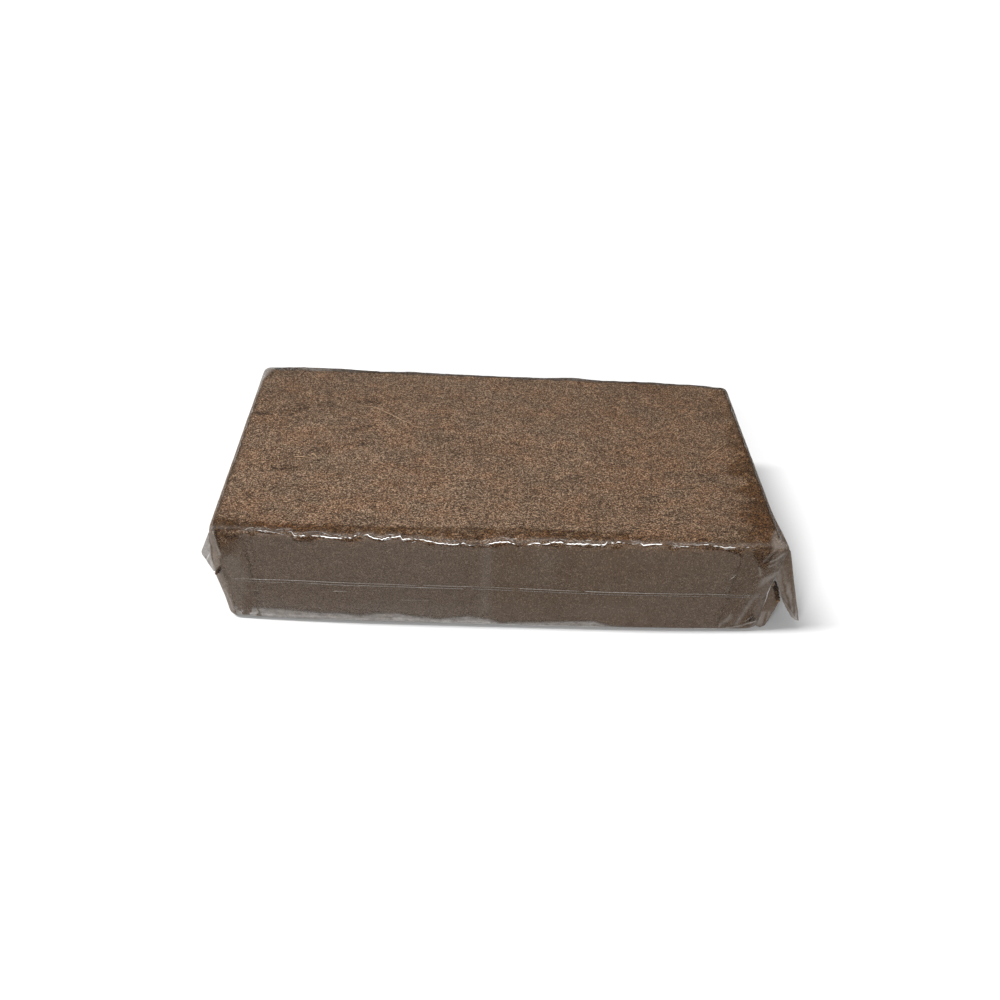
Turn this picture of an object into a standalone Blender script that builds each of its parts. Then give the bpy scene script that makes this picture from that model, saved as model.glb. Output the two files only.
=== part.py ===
"""Coconut coir bale: a pressed brick of coir pith and short fibre inside a clear film wrapper.

Metres, +Z up. The origin is on the table under the middle of the brick, +X runs along the brick and
-Y is the front face, which carries the film's lap seam.
"""

import math

import bpy
from mathutils import Vector, noise

MM = 0.001

# The pressed brick
BLOCK_LENGTH = 198.6 * MM
BLOCK_WIDTH = 98.6 * MM
BLOCK_HEIGHT = 44.8 * MM
BLOCK_TOP_RADIUS = 3.0 * MM
BLOCK_BOTTOM_RADIUS = 5.0 * MM
FRONT_BULGE = 2.4 * MM
BACK_BULGE = 1.4 * MM

# The film, modelled thicker than the real 0.05 mm so that it has a solid
FILM_THICKNESS = 0.3 * MM
FILM_GAP = 0.35 * MM
FILM_TOP_RADIUS = 2.2 * MM
FILM_BOTTOM_RADIUS = 2.8 * MM

# Relief of the pressed coir, always cut inwards from the smooth form
PIT_DEPTH = 0.5 * MM
PIT_SIZE = 9.0 * MM
EDGE_WEAR = 1.5 * MM
EDGE_WEAR_LENGTH = 13.0 * MM
EDGE_WEAR_REACH = 5.0 * MM
EDGE_WEAR_PATTERN = 7.3  # which line of the noise the wear follows
CHIP_STEEPNESS = 1.6
CHIP_SHARE = 0.4

# Lattice divisions along X, Y and Z between the rounded edges, and those that the two edges add to each
BLOCK_CELLS = (24, 12, 5)
FILM_CELLS = (16, 9, 6)
EDGE_CELLS = 4

SHARP_ANGLE = math.radians(40)

COIR_COLOUR = (0.190, 0.117, 0.074, 1.0)
FILM_COLOUR = (0.62, 0.58, 0.54, 0.35)

FILM_HALF = Vector(
    (
        BLOCK_LENGTH / 2 + FILM_GAP + FILM_THICKNESS,
        BLOCK_WIDTH / 2 + FILM_GAP + FILM_THICKNESS,
        BLOCK_HEIGHT / 2 + FILM_GAP + FILM_THICKNESS,
    )
)

# How far each end of the film stands off the brick, as (height, distance) pairs in millimetres.
# The end walls lean out to the fin at mid-height; at the right front corner the film is loose.
END_OUT = ((0.0, 0.0), (9.0, 1.2), (20.0, 3.0), (26.0, 3.2), (36.0, 1.2), (46.1, 0.0))
LOOSE_CORNER_OUT = ((0.0, 2.6), (6.0, 2.2), (15.0, 1.6), (21.0, 1.2), (29.0, 1.2), (36.0, 1.4), (46.1, 1.5))
LOOSE_CORNER_REACH = 24.0 * MM
END_SETTLE = 6.0 * MM  # how far from the corners the end walls reach their full distance
CORNER_SHARE = 0.25  # the share of that distance that they have at the corners

# The crimped fins that hang from mid-height of the end walls: (distance past the end, height) in millimetres
RIGHT_FIN_TIP_FRONT = (15.8, 6.6)
RIGHT_FIN_TIP_BACK = (7.5, 15.5)
LEFT_FIN_TIP_FRONT = (1.6, 23.2)
LEFT_FIN_TIP_BACK = (8.0, 16.0)
FIN_ROOT_HEIGHT = 25.0
FIN_ROOT_INSET = 0.9
FIN_THICKNESS = 0.6 * MM
FIN_CELLS = 14
FIN_MARGIN = 1.2 * MM  # how far the fins stop short of the film's front and back
FIN_WAVE = 0.7 * MM
FIN_WAVE_COUNT = 23.0  # in radians over the fin's width
FIN_WAVE_START = 3.0
FIN_EASE = 1.6  # how quickly the tip line settles from the front's droop to the back's
FIN_DROOP = 1.2
FIN_ROWS = (0.0, 0.5, 1.0)

# The ears, flat triangles of doubled film in line with the front face: (distance past the end, height) in
# millimetres, first the outer edge from the top down and then the way back under the ear
RIGHT_EAR = (
    (0.6, 44.2),
    (2.2, 44.0),
    (3.5, 42.0),
    (7.2, 32.0),
    (11.2, 21.0),
    (17.0, 5.6),
    (14.0, 7.8),
    (10.0, 12.4),
    (7.0, 17.4),
    (1.7, 29.4),
    (0.4, 31.0),
)
RIGHT_LOWER_EAR = ((1.2, 26.8), (6.6, 15.6), (5.3, 1.8), (3.0, 0.9), (1.4, 2.5), (0.4, 15.0))
LEFT_EAR = (
    (-0.8, 43.6),
    (0.5, 43.4),
    (4.4, 34.4),
    (4.7, 32.2),
    (2.4, 27.6),
    (1.5, 23.0),
    (0.6, 22.8),
    (0.0, 32.0),
)
EAR_THICKNESS = 0.7 * MM
EAR_SETBACK = 1.3 * MM
LOWER_EAR_SETBACK = 2.4 * MM

# The slit behind the right ears, as the height of the lattice cells left open in the film's right end
SLIT_HEIGHT = (12.0 * MM, 24.5 * MM)
SLIT_COLUMN = 2  # the first one clear of the rounded edge

# The brick's right back corner is worn, and the film follows it
WORN_CORNER_DEPTH = 1.8 * MM
WORN_CORNER_LENGTH = 16.0 * MM


def clear_scene():
    for thing in list(bpy.data.objects):
        bpy.data.objects.remove(thing, do_unlink=True)


def material(name, colour, roughness):
    made = bpy.data.materials.new(name)
    made.use_nodes = True
    shader = made.node_tree.nodes["Principled BSDF"]
    shader.inputs["Base Color"].default_value = colour
    shader.inputs["Roughness"].default_value = roughness
    shader.inputs["Metallic"].default_value = 0.0
    shader.inputs["Alpha"].default_value = colour[3]
    return made


def mesh_object(name, points, faces, finish):
    mesh = bpy.data.meshes.new(name)
    mesh.from_pydata([tuple(p) for p in points], [], faces)
    mesh.materials.append(finish)
    mesh.shade_smooth()
    mesh.set_sharp_from_angle(angle=SHARP_ANGLE)
    made = bpy.data.objects.new(name, mesh)
    bpy.context.scene.collection.objects.link(made)
    return made


def clamp(value, limit):
    return max(-limit, min(limit, value))


def along(pairs, at):
    """The value of a curve given as (at, value) pairs, straight between them."""
    for (low, first), (high, second) in zip(pairs, pairs[1:]):
        if at <= high:
            share = max(0.0, (at - low) / (high - low))
            return first + (second - first) * share
    return pairs[-1][1]


def smooth(share):
    share = max(0.0, min(1.0, share))
    return share * share * (3 - 2 * share)


def lattice_lines(half, radius, cells):
    """Places of the lattice lines along one axis: two to each rounded edge, even ones between."""
    mid_arc = radius * (1 - math.tan(math.radians(22.5)))
    inner = half - radius
    even = [-inner + 2 * inner * i / cells for i in range(cells + 1)]
    return [-half, -half + mid_arc] + even + [half - mid_arc, half]


def lattice_faces(counts):
    """Keys of the lattice points on a box's surface, and its quads facing outwards."""
    keys = {}
    quads = []
    for axis in range(3):
        u_axis, v_axis = (axis + 1) % 3, (axis + 2) % 3
        for side in (0, counts[axis]):
            for u in range(counts[u_axis]):
                for v in range(counts[v_axis]):
                    quad = []
                    for du, dv in ((0, 0), (1, 0), (1, 1), (0, 1)):
                        key = [0, 0, 0]
                        key[axis], key[u_axis], key[v_axis] = side, u + du, v + dv
                        quad.append(tuple(key))
                    if side == 0:
                        quad.reverse()
                    for key in quad:
                        keys.setdefault(key, len(keys))
                    quads.append(tuple(quad))
    return keys, quads


def rounded_box_point(key, half, top_radius, bottom_radius, cells):
    """The place of a lattice point on a box with rounded edges, centred on the origin."""
    share = key[2] / (cells[2] + EDGE_CELLS)
    radius = bottom_radius + (top_radius - bottom_radius) * share
    flat = Vector(lattice_lines(half[axis], radius, cells[axis])[key[axis]] for axis in range(3))
    inner = Vector(clamp(flat[axis], half[axis] - radius) for axis in range(3))
    return inner + (flat - inner).normalized() * radius


def bulge(point):
    """Moves a point of a box with the bellying of the front and back faces and the worn back corner."""
    middle = max(0.0, 1 - (point.x / FILM_HALF.x) ** 4)
    share = clamp(point.y / FILM_HALF.y, 1.0)
    height = 1 - 0.5 * (point.z / FILM_HALF.z) ** 2
    depth = (BACK_BULGE if share > 0 else FRONT_BULGE) * middle * height
    if share > 0:
        depth -= WORN_CORNER_DEPTH * smooth(1 - (FILM_HALF.x - point.x) / WORN_CORNER_LENGTH)
    return point + Vector((0, depth * share, 0))


def pressed_relief(point):
    """How deep the coir's surface lies under the smooth form at a point of it."""
    where = Vector(point) / PIT_SIZE
    pits = PIT_DEPTH * smooth(0.5 + noise.noise(where))
    to_front_edge = math.hypot(point.y + BLOCK_WIDTH / 2, point.z - BLOCK_HEIGHT / 2)
    near = smooth(1 - to_front_edge / EDGE_WEAR_REACH)
    along_edge = Vector((point.x / EDGE_WEAR_LENGTH, EDGE_WEAR_PATTERN, 0))
    chips = smooth(CHIP_STEEPNESS * noise.noise(along_edge) + CHIP_SHARE)
    return pits + EDGE_WEAR * near * chips


def coir_block():
    half = Vector((BLOCK_LENGTH, BLOCK_WIDTH, BLOCK_HEIGHT)) / 2
    counts = [cells + EDGE_CELLS for cells in BLOCK_CELLS]
    keys, quads = lattice_faces(counts)
    lift = Vector((0, 0, FILM_THICKNESS + FILM_GAP + half.z))
    points = []
    for key in keys:
        point = rounded_box_point(key, half, BLOCK_TOP_RADIUS, BLOCK_BOTTOM_RADIUS, BLOCK_CELLS)
        inner = Vector(clamp(point[axis], half[axis] - BLOCK_BOTTOM_RADIUS) for axis in range(3))
        normal = (point - inner).normalized()
        depth = pressed_relief(point) if point.z > -half.z + 0.1 * MM else 0.0
        points.append(bulge(point) - normal * depth + lift)
    faces = [[keys[key] for key in quad] for quad in quads]
    return mesh_object("coir_block", points, faces, material("pressed coir", COIR_COLOUR, 0.95))


def film_out(point):
    """Moves a point of the film's box outwards at the two ends, where the film stands off the brick."""
    past = abs(point.x) - (FILM_HALF.x - FILM_BOTTOM_RADIUS)
    if past <= 0:
        return point
    height = (point.z + FILM_HALF.z) / MM
    out = along(END_OUT, height) * smooth((FILM_HALF.y - abs(point.y)) / END_SETTLE + CORNER_SHARE)
    if point.x > 0:
        loose = smooth((LOOSE_CORNER_REACH - FILM_HALF.y - point.y) / LOOSE_CORNER_REACH)
        out = out + (along(LOOSE_CORNER_OUT, height) - out) * loose
    share = min(1.0, past / FILM_BOTTOM_RADIUS)
    return point + Vector((math.copysign(out * MM * share, point.x), 0, 0))


def film_surface(keys, inset):
    """The film's outer face, or with an inset its inner one, as points above the table."""
    half = FILM_HALF - Vector((inset, inset, inset))
    points = []
    for key in keys:
        point = rounded_box_point(key, half, FILM_TOP_RADIUS - inset, FILM_BOTTOM_RADIUS - inset, FILM_CELLS)
        points.append(bulge(film_out(point)) + Vector((0, 0, FILM_HALF.z)))
    return points


def in_slit(quad, points, keys):
    """Whether a quad of the film is one of those left open at the front of its right end, behind the ears."""
    middle = sum((points[keys[key]] for key in quad), Vector()) / 4
    on_right_end = all(key[0] == FILM_CELLS[0] + EDGE_CELLS for key in quad)
    slit_column = min(key[1] for key in quad) == SLIT_COLUMN
    return on_right_end and slit_column and SLIT_HEIGHT[0] < middle.z < SLIT_HEIGHT[1]


def film_shell():
    """The tube of film with closed ends: an outer and an inner face, joined round the slit."""
    counts = [cells + EDGE_CELLS for cells in FILM_CELLS]
    keys, quads = lattice_faces(counts)
    outer = film_surface(keys, 0.0)
    inner = film_surface(keys, FILM_THICKNESS)
    faces = []
    slit_edges = []
    for quad in quads:
        ring = [keys[key] for key in quad]
        if in_slit(quad, outer, keys):
            slit_edges += zip(ring, ring[1:] + ring[:1])
        else:
            faces.append(ring)
            faces.append([len(outer) + i for i in reversed(ring)])
    for first, second in slit_edges:
        if (second, first) not in slit_edges:
            faces.append([first, second, len(outer) + second, len(outer) + first])
    return outer + inner, faces


def plate(points, faces_across):
    """A closed plate between two like rows of points, front row first."""
    count = len(points) // 2
    faces = list(faces_across)
    faces += [[i + count for i in reversed(face)] for face in faces_across]
    edges = [edge for face in faces_across for edge in zip(face, face[1:] + face[:1])]
    for first, second in edges:
        if (second, first) not in edges:
            faces.append([second, first, first + count, second + count])
    return points, faces


def fin_root(side, y):
    """Where a fin leaves its end wall at some y: (distance past the end, height) in millimetres."""
    wall = film_out(Vector((side * FILM_HALF.x, y, FIN_ROOT_HEIGHT * MM - FILM_HALF.z)))
    return max(0.0, (abs(wall.x) - FILM_HALF.x) / MM - FIN_ROOT_INSET), FIN_ROOT_HEIGHT


def fin(side, tip_front, tip_back):
    """The crimped end of the film tube, hanging from mid-height of one end wall."""
    half_width = FILM_HALF.y - FIN_MARGIN
    front_rows, back_rows = [], []
    for i in range(FIN_CELLS + 1):
        share = i / FIN_CELLS
        y = -half_width + 2 * half_width * share
        ease = smooth(share * FIN_EASE)
        root = fin_root(side, y)
        tip = [a + (b - a) * ease for a, b in zip(tip_front, tip_back)]
        wave = FIN_WAVE * math.sin(share * FIN_WAVE_COUNT + side) * smooth(share * FIN_WAVE_START)
        for step in FIN_ROWS:
            out = (root[0] + (tip[0] - root[0]) * step) * MM + wave * step
            height = (root[1] + (tip[1] - root[1]) * step**FIN_DROOP) * MM
            across = Vector((tip[1] - root[1], 0, root[0] - tip[0])).normalized() * FIN_THICKNESS / 2
            middle = Vector((side * (FILM_HALF.x + out), y, height))
            across.x *= side
            front_rows.append(middle - across)
            back_rows.append(middle + across)
    faces = []
    for i in range(FIN_CELLS):
        for step in range(len(FIN_ROWS) - 1):
            a = i * len(FIN_ROWS) + step
            b = a + len(FIN_ROWS)
            face = [a, a + 1, b + 1, b]
            faces.append(face if side > 0 else face[::-1])
    return plate(front_rows + back_rows, faces)


def ear(side, outline, setback):
    """A flat triangle of doubled film at the front corner of an end, in line with the front face."""
    y = -FILM_HALF.y + setback
    rows = []
    for depth in (0.0, EAR_THICKNESS):
        rows += [Vector((side * (FILM_HALF.x + out * MM), y + depth, height * MM)) for out, height in outline]
    ring = list(range(len(outline)))
    return plate(rows, [ring[::-1] if side > 0 else ring])


def film_wrapper():
    finish = material("clear film", FILM_COLOUR, 0.18)
    wrapper = mesh_object("film_wrapper", *film_shell(), finish)
    added = (
        ("right fin", fin(1, RIGHT_FIN_TIP_FRONT, RIGHT_FIN_TIP_BACK)),
        ("left fin", fin(-1, LEFT_FIN_TIP_FRONT, LEFT_FIN_TIP_BACK)),
        ("right ear", ear(1, RIGHT_EAR, EAR_SETBACK)),
        ("right lower ear", ear(1, RIGHT_LOWER_EAR, LOWER_EAR_SETBACK)),
        ("left ear", ear(-1, LEFT_EAR, EAR_SETBACK)),
    )
    for name, (points, faces) in added:
        piece = mesh_object(name.replace(" ", "_"), points, faces, finish)
        piece.hide_render = True
        piece.display_type = "WIRE"
        union = wrapper.modifiers.new(name, "BOOLEAN")
        union.operation = "UNION"
        union.object = piece
    return wrapper


def main():
    clear_scene()
    coir_block()
    film_wrapper()


main()
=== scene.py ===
"""The looks of the coconut coir bale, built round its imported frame.

Metres, +Z up, in the frame's own axes: the origin is on the table under the middle of the brick, +X runs
along it and -Y is the front face, which carries the film's lap seam.
"""

import math

import bpy
import numpy as np
from mathutils import Matrix, Vector

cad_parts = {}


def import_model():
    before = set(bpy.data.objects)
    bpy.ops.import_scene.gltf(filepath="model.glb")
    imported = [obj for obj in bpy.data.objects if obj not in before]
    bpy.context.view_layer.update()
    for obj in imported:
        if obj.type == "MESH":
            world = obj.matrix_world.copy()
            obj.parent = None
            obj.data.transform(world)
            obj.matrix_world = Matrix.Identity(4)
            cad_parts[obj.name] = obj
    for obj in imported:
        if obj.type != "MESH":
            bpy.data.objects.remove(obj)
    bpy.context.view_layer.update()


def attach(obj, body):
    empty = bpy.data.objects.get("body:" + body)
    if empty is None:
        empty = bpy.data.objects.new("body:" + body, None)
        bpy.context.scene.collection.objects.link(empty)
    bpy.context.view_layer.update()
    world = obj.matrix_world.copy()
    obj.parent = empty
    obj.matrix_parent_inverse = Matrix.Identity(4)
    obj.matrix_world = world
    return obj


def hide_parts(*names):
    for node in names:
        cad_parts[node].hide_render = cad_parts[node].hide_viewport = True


MM = 0.001

# The pressed brick and the film's box, as the solids have them
BLOCK_HALF = np.array((198.6, 98.6, 44.8)) / 2 * MM
FILM_THICKNESS = 0.3 * MM
FILM_GAP = 0.35 * MM
FILM_TOP_RADIUS = 2.2 * MM
FILM_BOTTOM_RADIUS = 2.8 * MM
FRONT_BULGE = 2.4 * MM
BACK_BULGE = 1.4 * MM
WORN_CORNER_DEPTH = 1.8 * MM
WORN_CORNER_LENGTH = 16.0 * MM
FILM_HALF = BLOCK_HALF + FILM_GAP + FILM_THICKNESS
SKIN_INSET = 0.05 * MM

# How far the end walls of the film stand off the brick: height and distance, in millimetres
END_OUT = ((0.0, 0.0), (9.0, 1.2), (20.0, 3.0), (26.0, 3.2), (36.0, 1.4), (46.1, 0.6))
# The same at the right front corner, where the film is loose
LOOSE_OUT = ((0.0, 2.6), (6.0, 2.2), (15.0, 1.6), (21.0, 1.2), (29.0, 1.4), (36.0, 1.8), (46.1, 2.4))
LOOSE_CORNER_REACH = 24.0 * MM

# The fins and ears of the film: (distance past the end, height) in millimetres
RIGHT_FIN_TIP_FRONT = (15.8, 6.6)
RIGHT_FIN_TIP_BACK = (7.5, 15.5)
LEFT_FIN_TIP_FRONT = (1.6, 23.2)
LEFT_FIN_TIP_BACK = (8.0, 16.0)
FIN_ROOT_HEIGHT = 25.0
FIN_ROOT_INSET = 0.9
FIN_WAVE = 0.7
RIGHT_EAR = (
    (0.2, 44.8), (1.3, 44.9), (2.9, 43.0), (5.9, 35.5), (8.8, 27.7), (13.4, 16.1), (16.2, 9.3), (18.2, 3.8),
    (16.6, 4.2), (14.0, 6.8), (11.3, 10.8), (8.2, 15.6), (5.5, 21.0), (2.3, 27.6), (0.4, 31.0),
)
RIGHT_LOWER_EAR = ((1.3, 27.4), (3.6, 23.3), (6.9, 15.0), (5.2, 1.4), (3.6, 0.5), (1.4, 1.5), (0.4, 15.0))
LEFT_EAR = (
    (-0.8, 43.6), (0.5, 43.5), (4.9, 33.5), (5.0, 31.9), (3.9, 28.4), (2.5, 23.7), (0.6, 22.8), (0.0, 32.0),
)
EAR_SETBACK = 1.6 * MM
LOWER_EAR_SETBACK = 1.4 * MM

# The camera of the photograph: focal length in pixels of its 1000-pixel frame, place, and turns in degrees
FRAME_PIXELS = 1000
FOCAL_PIXELS = 818.1
SENSOR_MM = 36.0
CAMERA_PLACE = (-0.0152, -0.2480, 0.2466)
CAMERA_YAW = -3.86
CAMERA_PITCH = -42.52
CAMERA_ROLL = 4.55


def smooth(share):
    """From 0 to 1, level at both ends."""
    share = np.clip(share, 0.0, 1.0)
    return share * share * (3 - 2 * share)


def band(value, low, high, soft):
    """1 where value lies from low to high, falling off to 0 over soft on both sides."""
    return smooth((value - low) / soft + 0.5) * smooth((high - value) / soft + 0.5)


def read_off(table, places):
    """What each further column of a table says at places along its first column."""
    along, *columns = np.array(table).T
    return [np.interp(places, along, column) for column in columns]


def stacked(*coordinates):
    """Points from their coordinates. A single number stands for the same one in every point."""
    return np.stack(np.broadcast_arrays(*coordinates), axis=1)


def levelled(spots):
    """Spots of a flat sheet as points in space."""
    return np.pad(spots, ((0, 0), (0, 1)))


# Noise


def cell_values(cells, seed):
    """A repeatable number from -1 to 1 for each whole-number cell of space."""
    mixed = cells[:, 0] * 73856093 ^ cells[:, 1] * 19349663 ^ cells[:, 2] * 83492791 ^ (seed + 1) * 40503
    mixed = (mixed ^ (mixed >> 13)) * 1274126177 & 0xFFFFFFFF
    mixed = (mixed ^ (mixed >> 15)) * 668265263 & 0xFFFFFFFF
    return ((mixed ^ (mixed >> 16)) & 0xFFFF) / 32767.5 - 1


def noise(points, size, seed=0):
    """Smooth noise from -1 to 1 at points, with features of about the given size (one number or three)."""
    scaled = np.asarray(points) / np.asarray(size)
    low = np.floor(scaled)
    part = smooth(scaled - low)
    low = low.astype(np.int64)
    total = np.zeros(len(scaled))
    for corner in np.ndindex(2, 2, 2):
        weight = np.prod(np.where(corner, part, 1 - part), axis=1)
        total += weight * cell_values(low + np.array(corner), seed)
    return total


def layered(points, size, octaves, seed=0):
    """Noise with finer noise on top, halving in size and strength."""
    total, strength, whole = np.zeros(len(points)), 1.0, 0.0
    size = np.asarray(size, float)
    for octave in range(octaves):
        total += strength * noise(points, size / 2**octave, seed + octave * 17)
        whole += strength
        strength *= 0.55
    return total / whole


# Meshes


def placed(name, data):
    """A new object in the scene."""
    made = bpy.data.objects.new(name, data)
    bpy.context.scene.collection.objects.link(made)
    return made


def mesh_piece(name, points, faces, material, fields):
    """A piece from its points and faces. fields names the values that its points have."""
    mesh = bpy.data.meshes.new(name)
    mesh.from_pydata(points.tolist(), [], faces)
    for key, values in fields.items():
        mesh.attributes.new(key, "FLOAT", "POINT").data.foreach_set("value", values.astype(np.float32))
    mesh.materials.append(material)
    mesh.shade_smooth()
    return placed(name, mesh)


def joined_piece(name, parts, material, keys):
    """One piece from several parts, each with its points, its faces and its points' value for every key."""
    base, faces = 0, []
    for points, rows, *_ in parts:
        rows = rows.tolist() if isinstance(rows, np.ndarray) else rows
        faces += [[corner + base for corner in row] for row in rows]
        base += len(points)
    points, _, *values = zip(*parts)
    fields = {key: np.concatenate(value) for key, value in zip(keys, values)}
    return mesh_piece(name, np.concatenate(points), faces, material, fields)


def grid_quads(index):
    """The quads between the rows and columns of a grid of point numbers."""
    return np.stack([index[:-1, :-1], index[1:, :-1], index[1:, 1:], index[:-1, 1:]], axis=-1).reshape(-1, 4)


def box_lattice(counts):
    """Lattice points on a box's surface as whole numbers, and its quads, facing outwards."""
    points, quads, base = [], [], 0
    for axis in range(3):
        u, v = (axis + 1) % 3, (axis + 2) % 3
        for side in (0, counts[axis]):
            across, up = np.meshgrid(np.arange(counts[u] + 1), np.arange(counts[v] + 1), indexing="ij")
            grid = np.empty(across.shape + (3,), np.int64)
            grid[..., axis], grid[..., u], grid[..., v] = side, across, up
            rows = grid_quads(base + np.arange(across.size).reshape(across.shape))
            points.append(grid.reshape(-1, 3))
            quads.append(rows[:, ::-1] if side == 0 else rows)
            base += across.size
    keys, place = np.unique(np.concatenate(points), axis=0, return_inverse=True)
    return keys, place.reshape(-1)[np.concatenate(quads)]


def lattice_shares(cells, arc_lines):
    """Where one axis's lattice lines lie: how far from the middle to the edge, and into the rounding."""
    into = np.tan(np.radians(45 * np.arange(arc_lines, 0, -1) / arc_lines))
    shares = np.concatenate([np.full(arc_lines, -1.0), np.linspace(-1, 1, cells + 1), np.ones(arc_lines)])
    return shares, np.concatenate([-into, np.zeros(cells + 1), into[::-1]])


def box_grid(half, cells, arc_lines, radius_at):
    """Points on a box with sharp edges, closer together where it is to be rounded, and its quads.

    radius_at gives the radius of the rounding at a share of the height."""
    counts = [count + 2 * arc_lines for count in cells]
    keys, quads = box_lattice(counts)
    radius = radius_at(keys[:, 2] / counts[2])
    flat = np.empty(keys.shape)
    for axis, index in enumerate(keys.T):
        share, into = lattice_shares(cells[axis], arc_lines)
        flat[:, axis] = share[index] * (half[axis] - radius) + into[index] * radius
    return flat, quads


def rounded(flat, half, radius):
    """Points of a sharp box moved to the rounded one, and the directions that face out there."""
    inner = np.clip(flat, -(half - radius[:, None]), half - radius[:, None])
    out = flat - inner
    out /= np.linalg.norm(out, axis=1)[:, None]
    return inner + out * radius[:, None], out


def bulge(points):
    """The bellying of the front and back faces and the worn right back corner, as in the solids."""
    middle = np.clip(1 - (points[:, 0] / FILM_HALF[0]) ** 4, 0, None)
    share = np.clip(points[:, 1] / FILM_HALF[1], -1, 1)
    height = 1 - 0.5 * (points[:, 2] / FILM_HALF[2]) ** 2
    depth = np.where(share > 0, BACK_BULGE, FRONT_BULGE) * middle * height
    worn = smooth(1 - (FILM_HALF[0] - points[:, 0]) / WORN_CORNER_LENGTH)
    depth -= np.where(share > 0, WORN_CORNER_DEPTH * worn, 0)
    moved = points.copy()
    moved[:, 1] += depth * share
    return moved


def edge_nearness(flat, half):
    """How far each point of a sharp box is from its nearest edge."""
    return np.sort(half - np.abs(flat), axis=1)[:, 1]


def inside(spots, outline):
    """True for the spots inside an outline."""
    found = np.zeros(len(spots), bool)
    for (x0, y0), (x1, y1) in zip(outline, outline[1:] + outline[:1]):
        if y0 != y1:
            crossing = x0 + (spots[:, 1] - y0) * (x1 - x0) / (y1 - y0)
            found ^= ((spots[:, 1] < y0) != (spots[:, 1] < y1)) & (spots[:, 0] < crossing)
    return found


# The coir

COIR_FIELDS = ("tone", "damp_and_shade")
COIR_CELLS = (200, 100, 44)
COIR_ARC_LINES = 4
COIR_GROWTH = 0.2 * MM  # the pith presses the film outwards, over the gap that the solids keep
COIR_HALF = BLOCK_HALF + COIR_GROWTH
COIR_TOP_RADIUS = 2.3 * MM
COIR_BOTTOM_RADIUS = 3.6 * MM
COIR_LIFT = np.array((0, 0, FILM_HALF[2]))
HIGHEST_COIR = 0.14 * MM
END_FILL = 0.6 * MM  # how much further out the pith lies at the ends, and high and low at the back
BACK_FILL = 0.35 * MM
LOW_BACK_FILL = 0.06 * MM
FILL_REACH = 6.0 * MM


def coir_radius(share):
    """The rounding of the brick's long edges at a share of its height."""
    return COIR_BOTTOM_RADIUS + (COIR_TOP_RADIUS - COIR_BOTTOM_RADIUS) * share


def coir_depth(flat):
    """How deep the coir's surface lies under the smooth form, and a tone from 0 in pits to 1 on lumps that
    paints shade into the pits.
    """
    rough = np.exp(-edge_nearness(flat, COIR_HALF) / (3.5 * MM))
    broad = layered(flat, 22 * MM, 2, seed=3)
    lumps = layered(flat, (7 * MM, 5 * MM, 5 * MM), 3, seed=11)
    grains = noise(flat, (2.6 * MM, 1.7 * MM, 1.7 * MM), seed=29)
    relief = 0.12 * broad + (0.16 + 0.35 * rough) * lumps + (0.13 + 0.22 * rough) * grains
    to_front_edge = np.hypot(flat[:, 1] + COIR_HALF[1], flat[:, 2] - COIR_HALF[2])
    chips = smooth(1.5 * noise(flat * (1, 0, 0), 9 * MM, seed=41) + 0.3)
    worn = 0.5 * smooth(1 - to_front_edge / (4.5 * MM)) * chips
    to_low_edge = np.hypot(flat[:, 1] + COIR_HALF[1], flat[:, 2] + COIR_HALF[2])
    worn += 1.2 * smooth(1 - to_low_edge / (7 * MM)) * smooth(0.75 - flat[:, 0] / (110 * MM))
    depth = 0.05 - relief + worn + 0.08 * rough
    return np.maximum(depth * MM, -HIGHEST_COIR), 0.5 + relief * 1.1


# The dark, crumbly band along the front of the top: x, how far back it starts and ends, in millimetres, and
# how dark it is
DAMP_BAND = (
    (-99, 0.0, 5.6, 1.0), (-70, 0.6, 5.4, 1.0), (-52, 1.0, 5.6, 1.0), (-20, 1.4, 6.2, 1.0),
    (5, 1.6, 7.0, 1.0), (38, 2.0, 7.0, 1.0), (50, 1.4, 5.8, 0.8), (74, 1.4, 5.6, 0.75), (99, 0.6, 6.0, 0.9),
)


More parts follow.
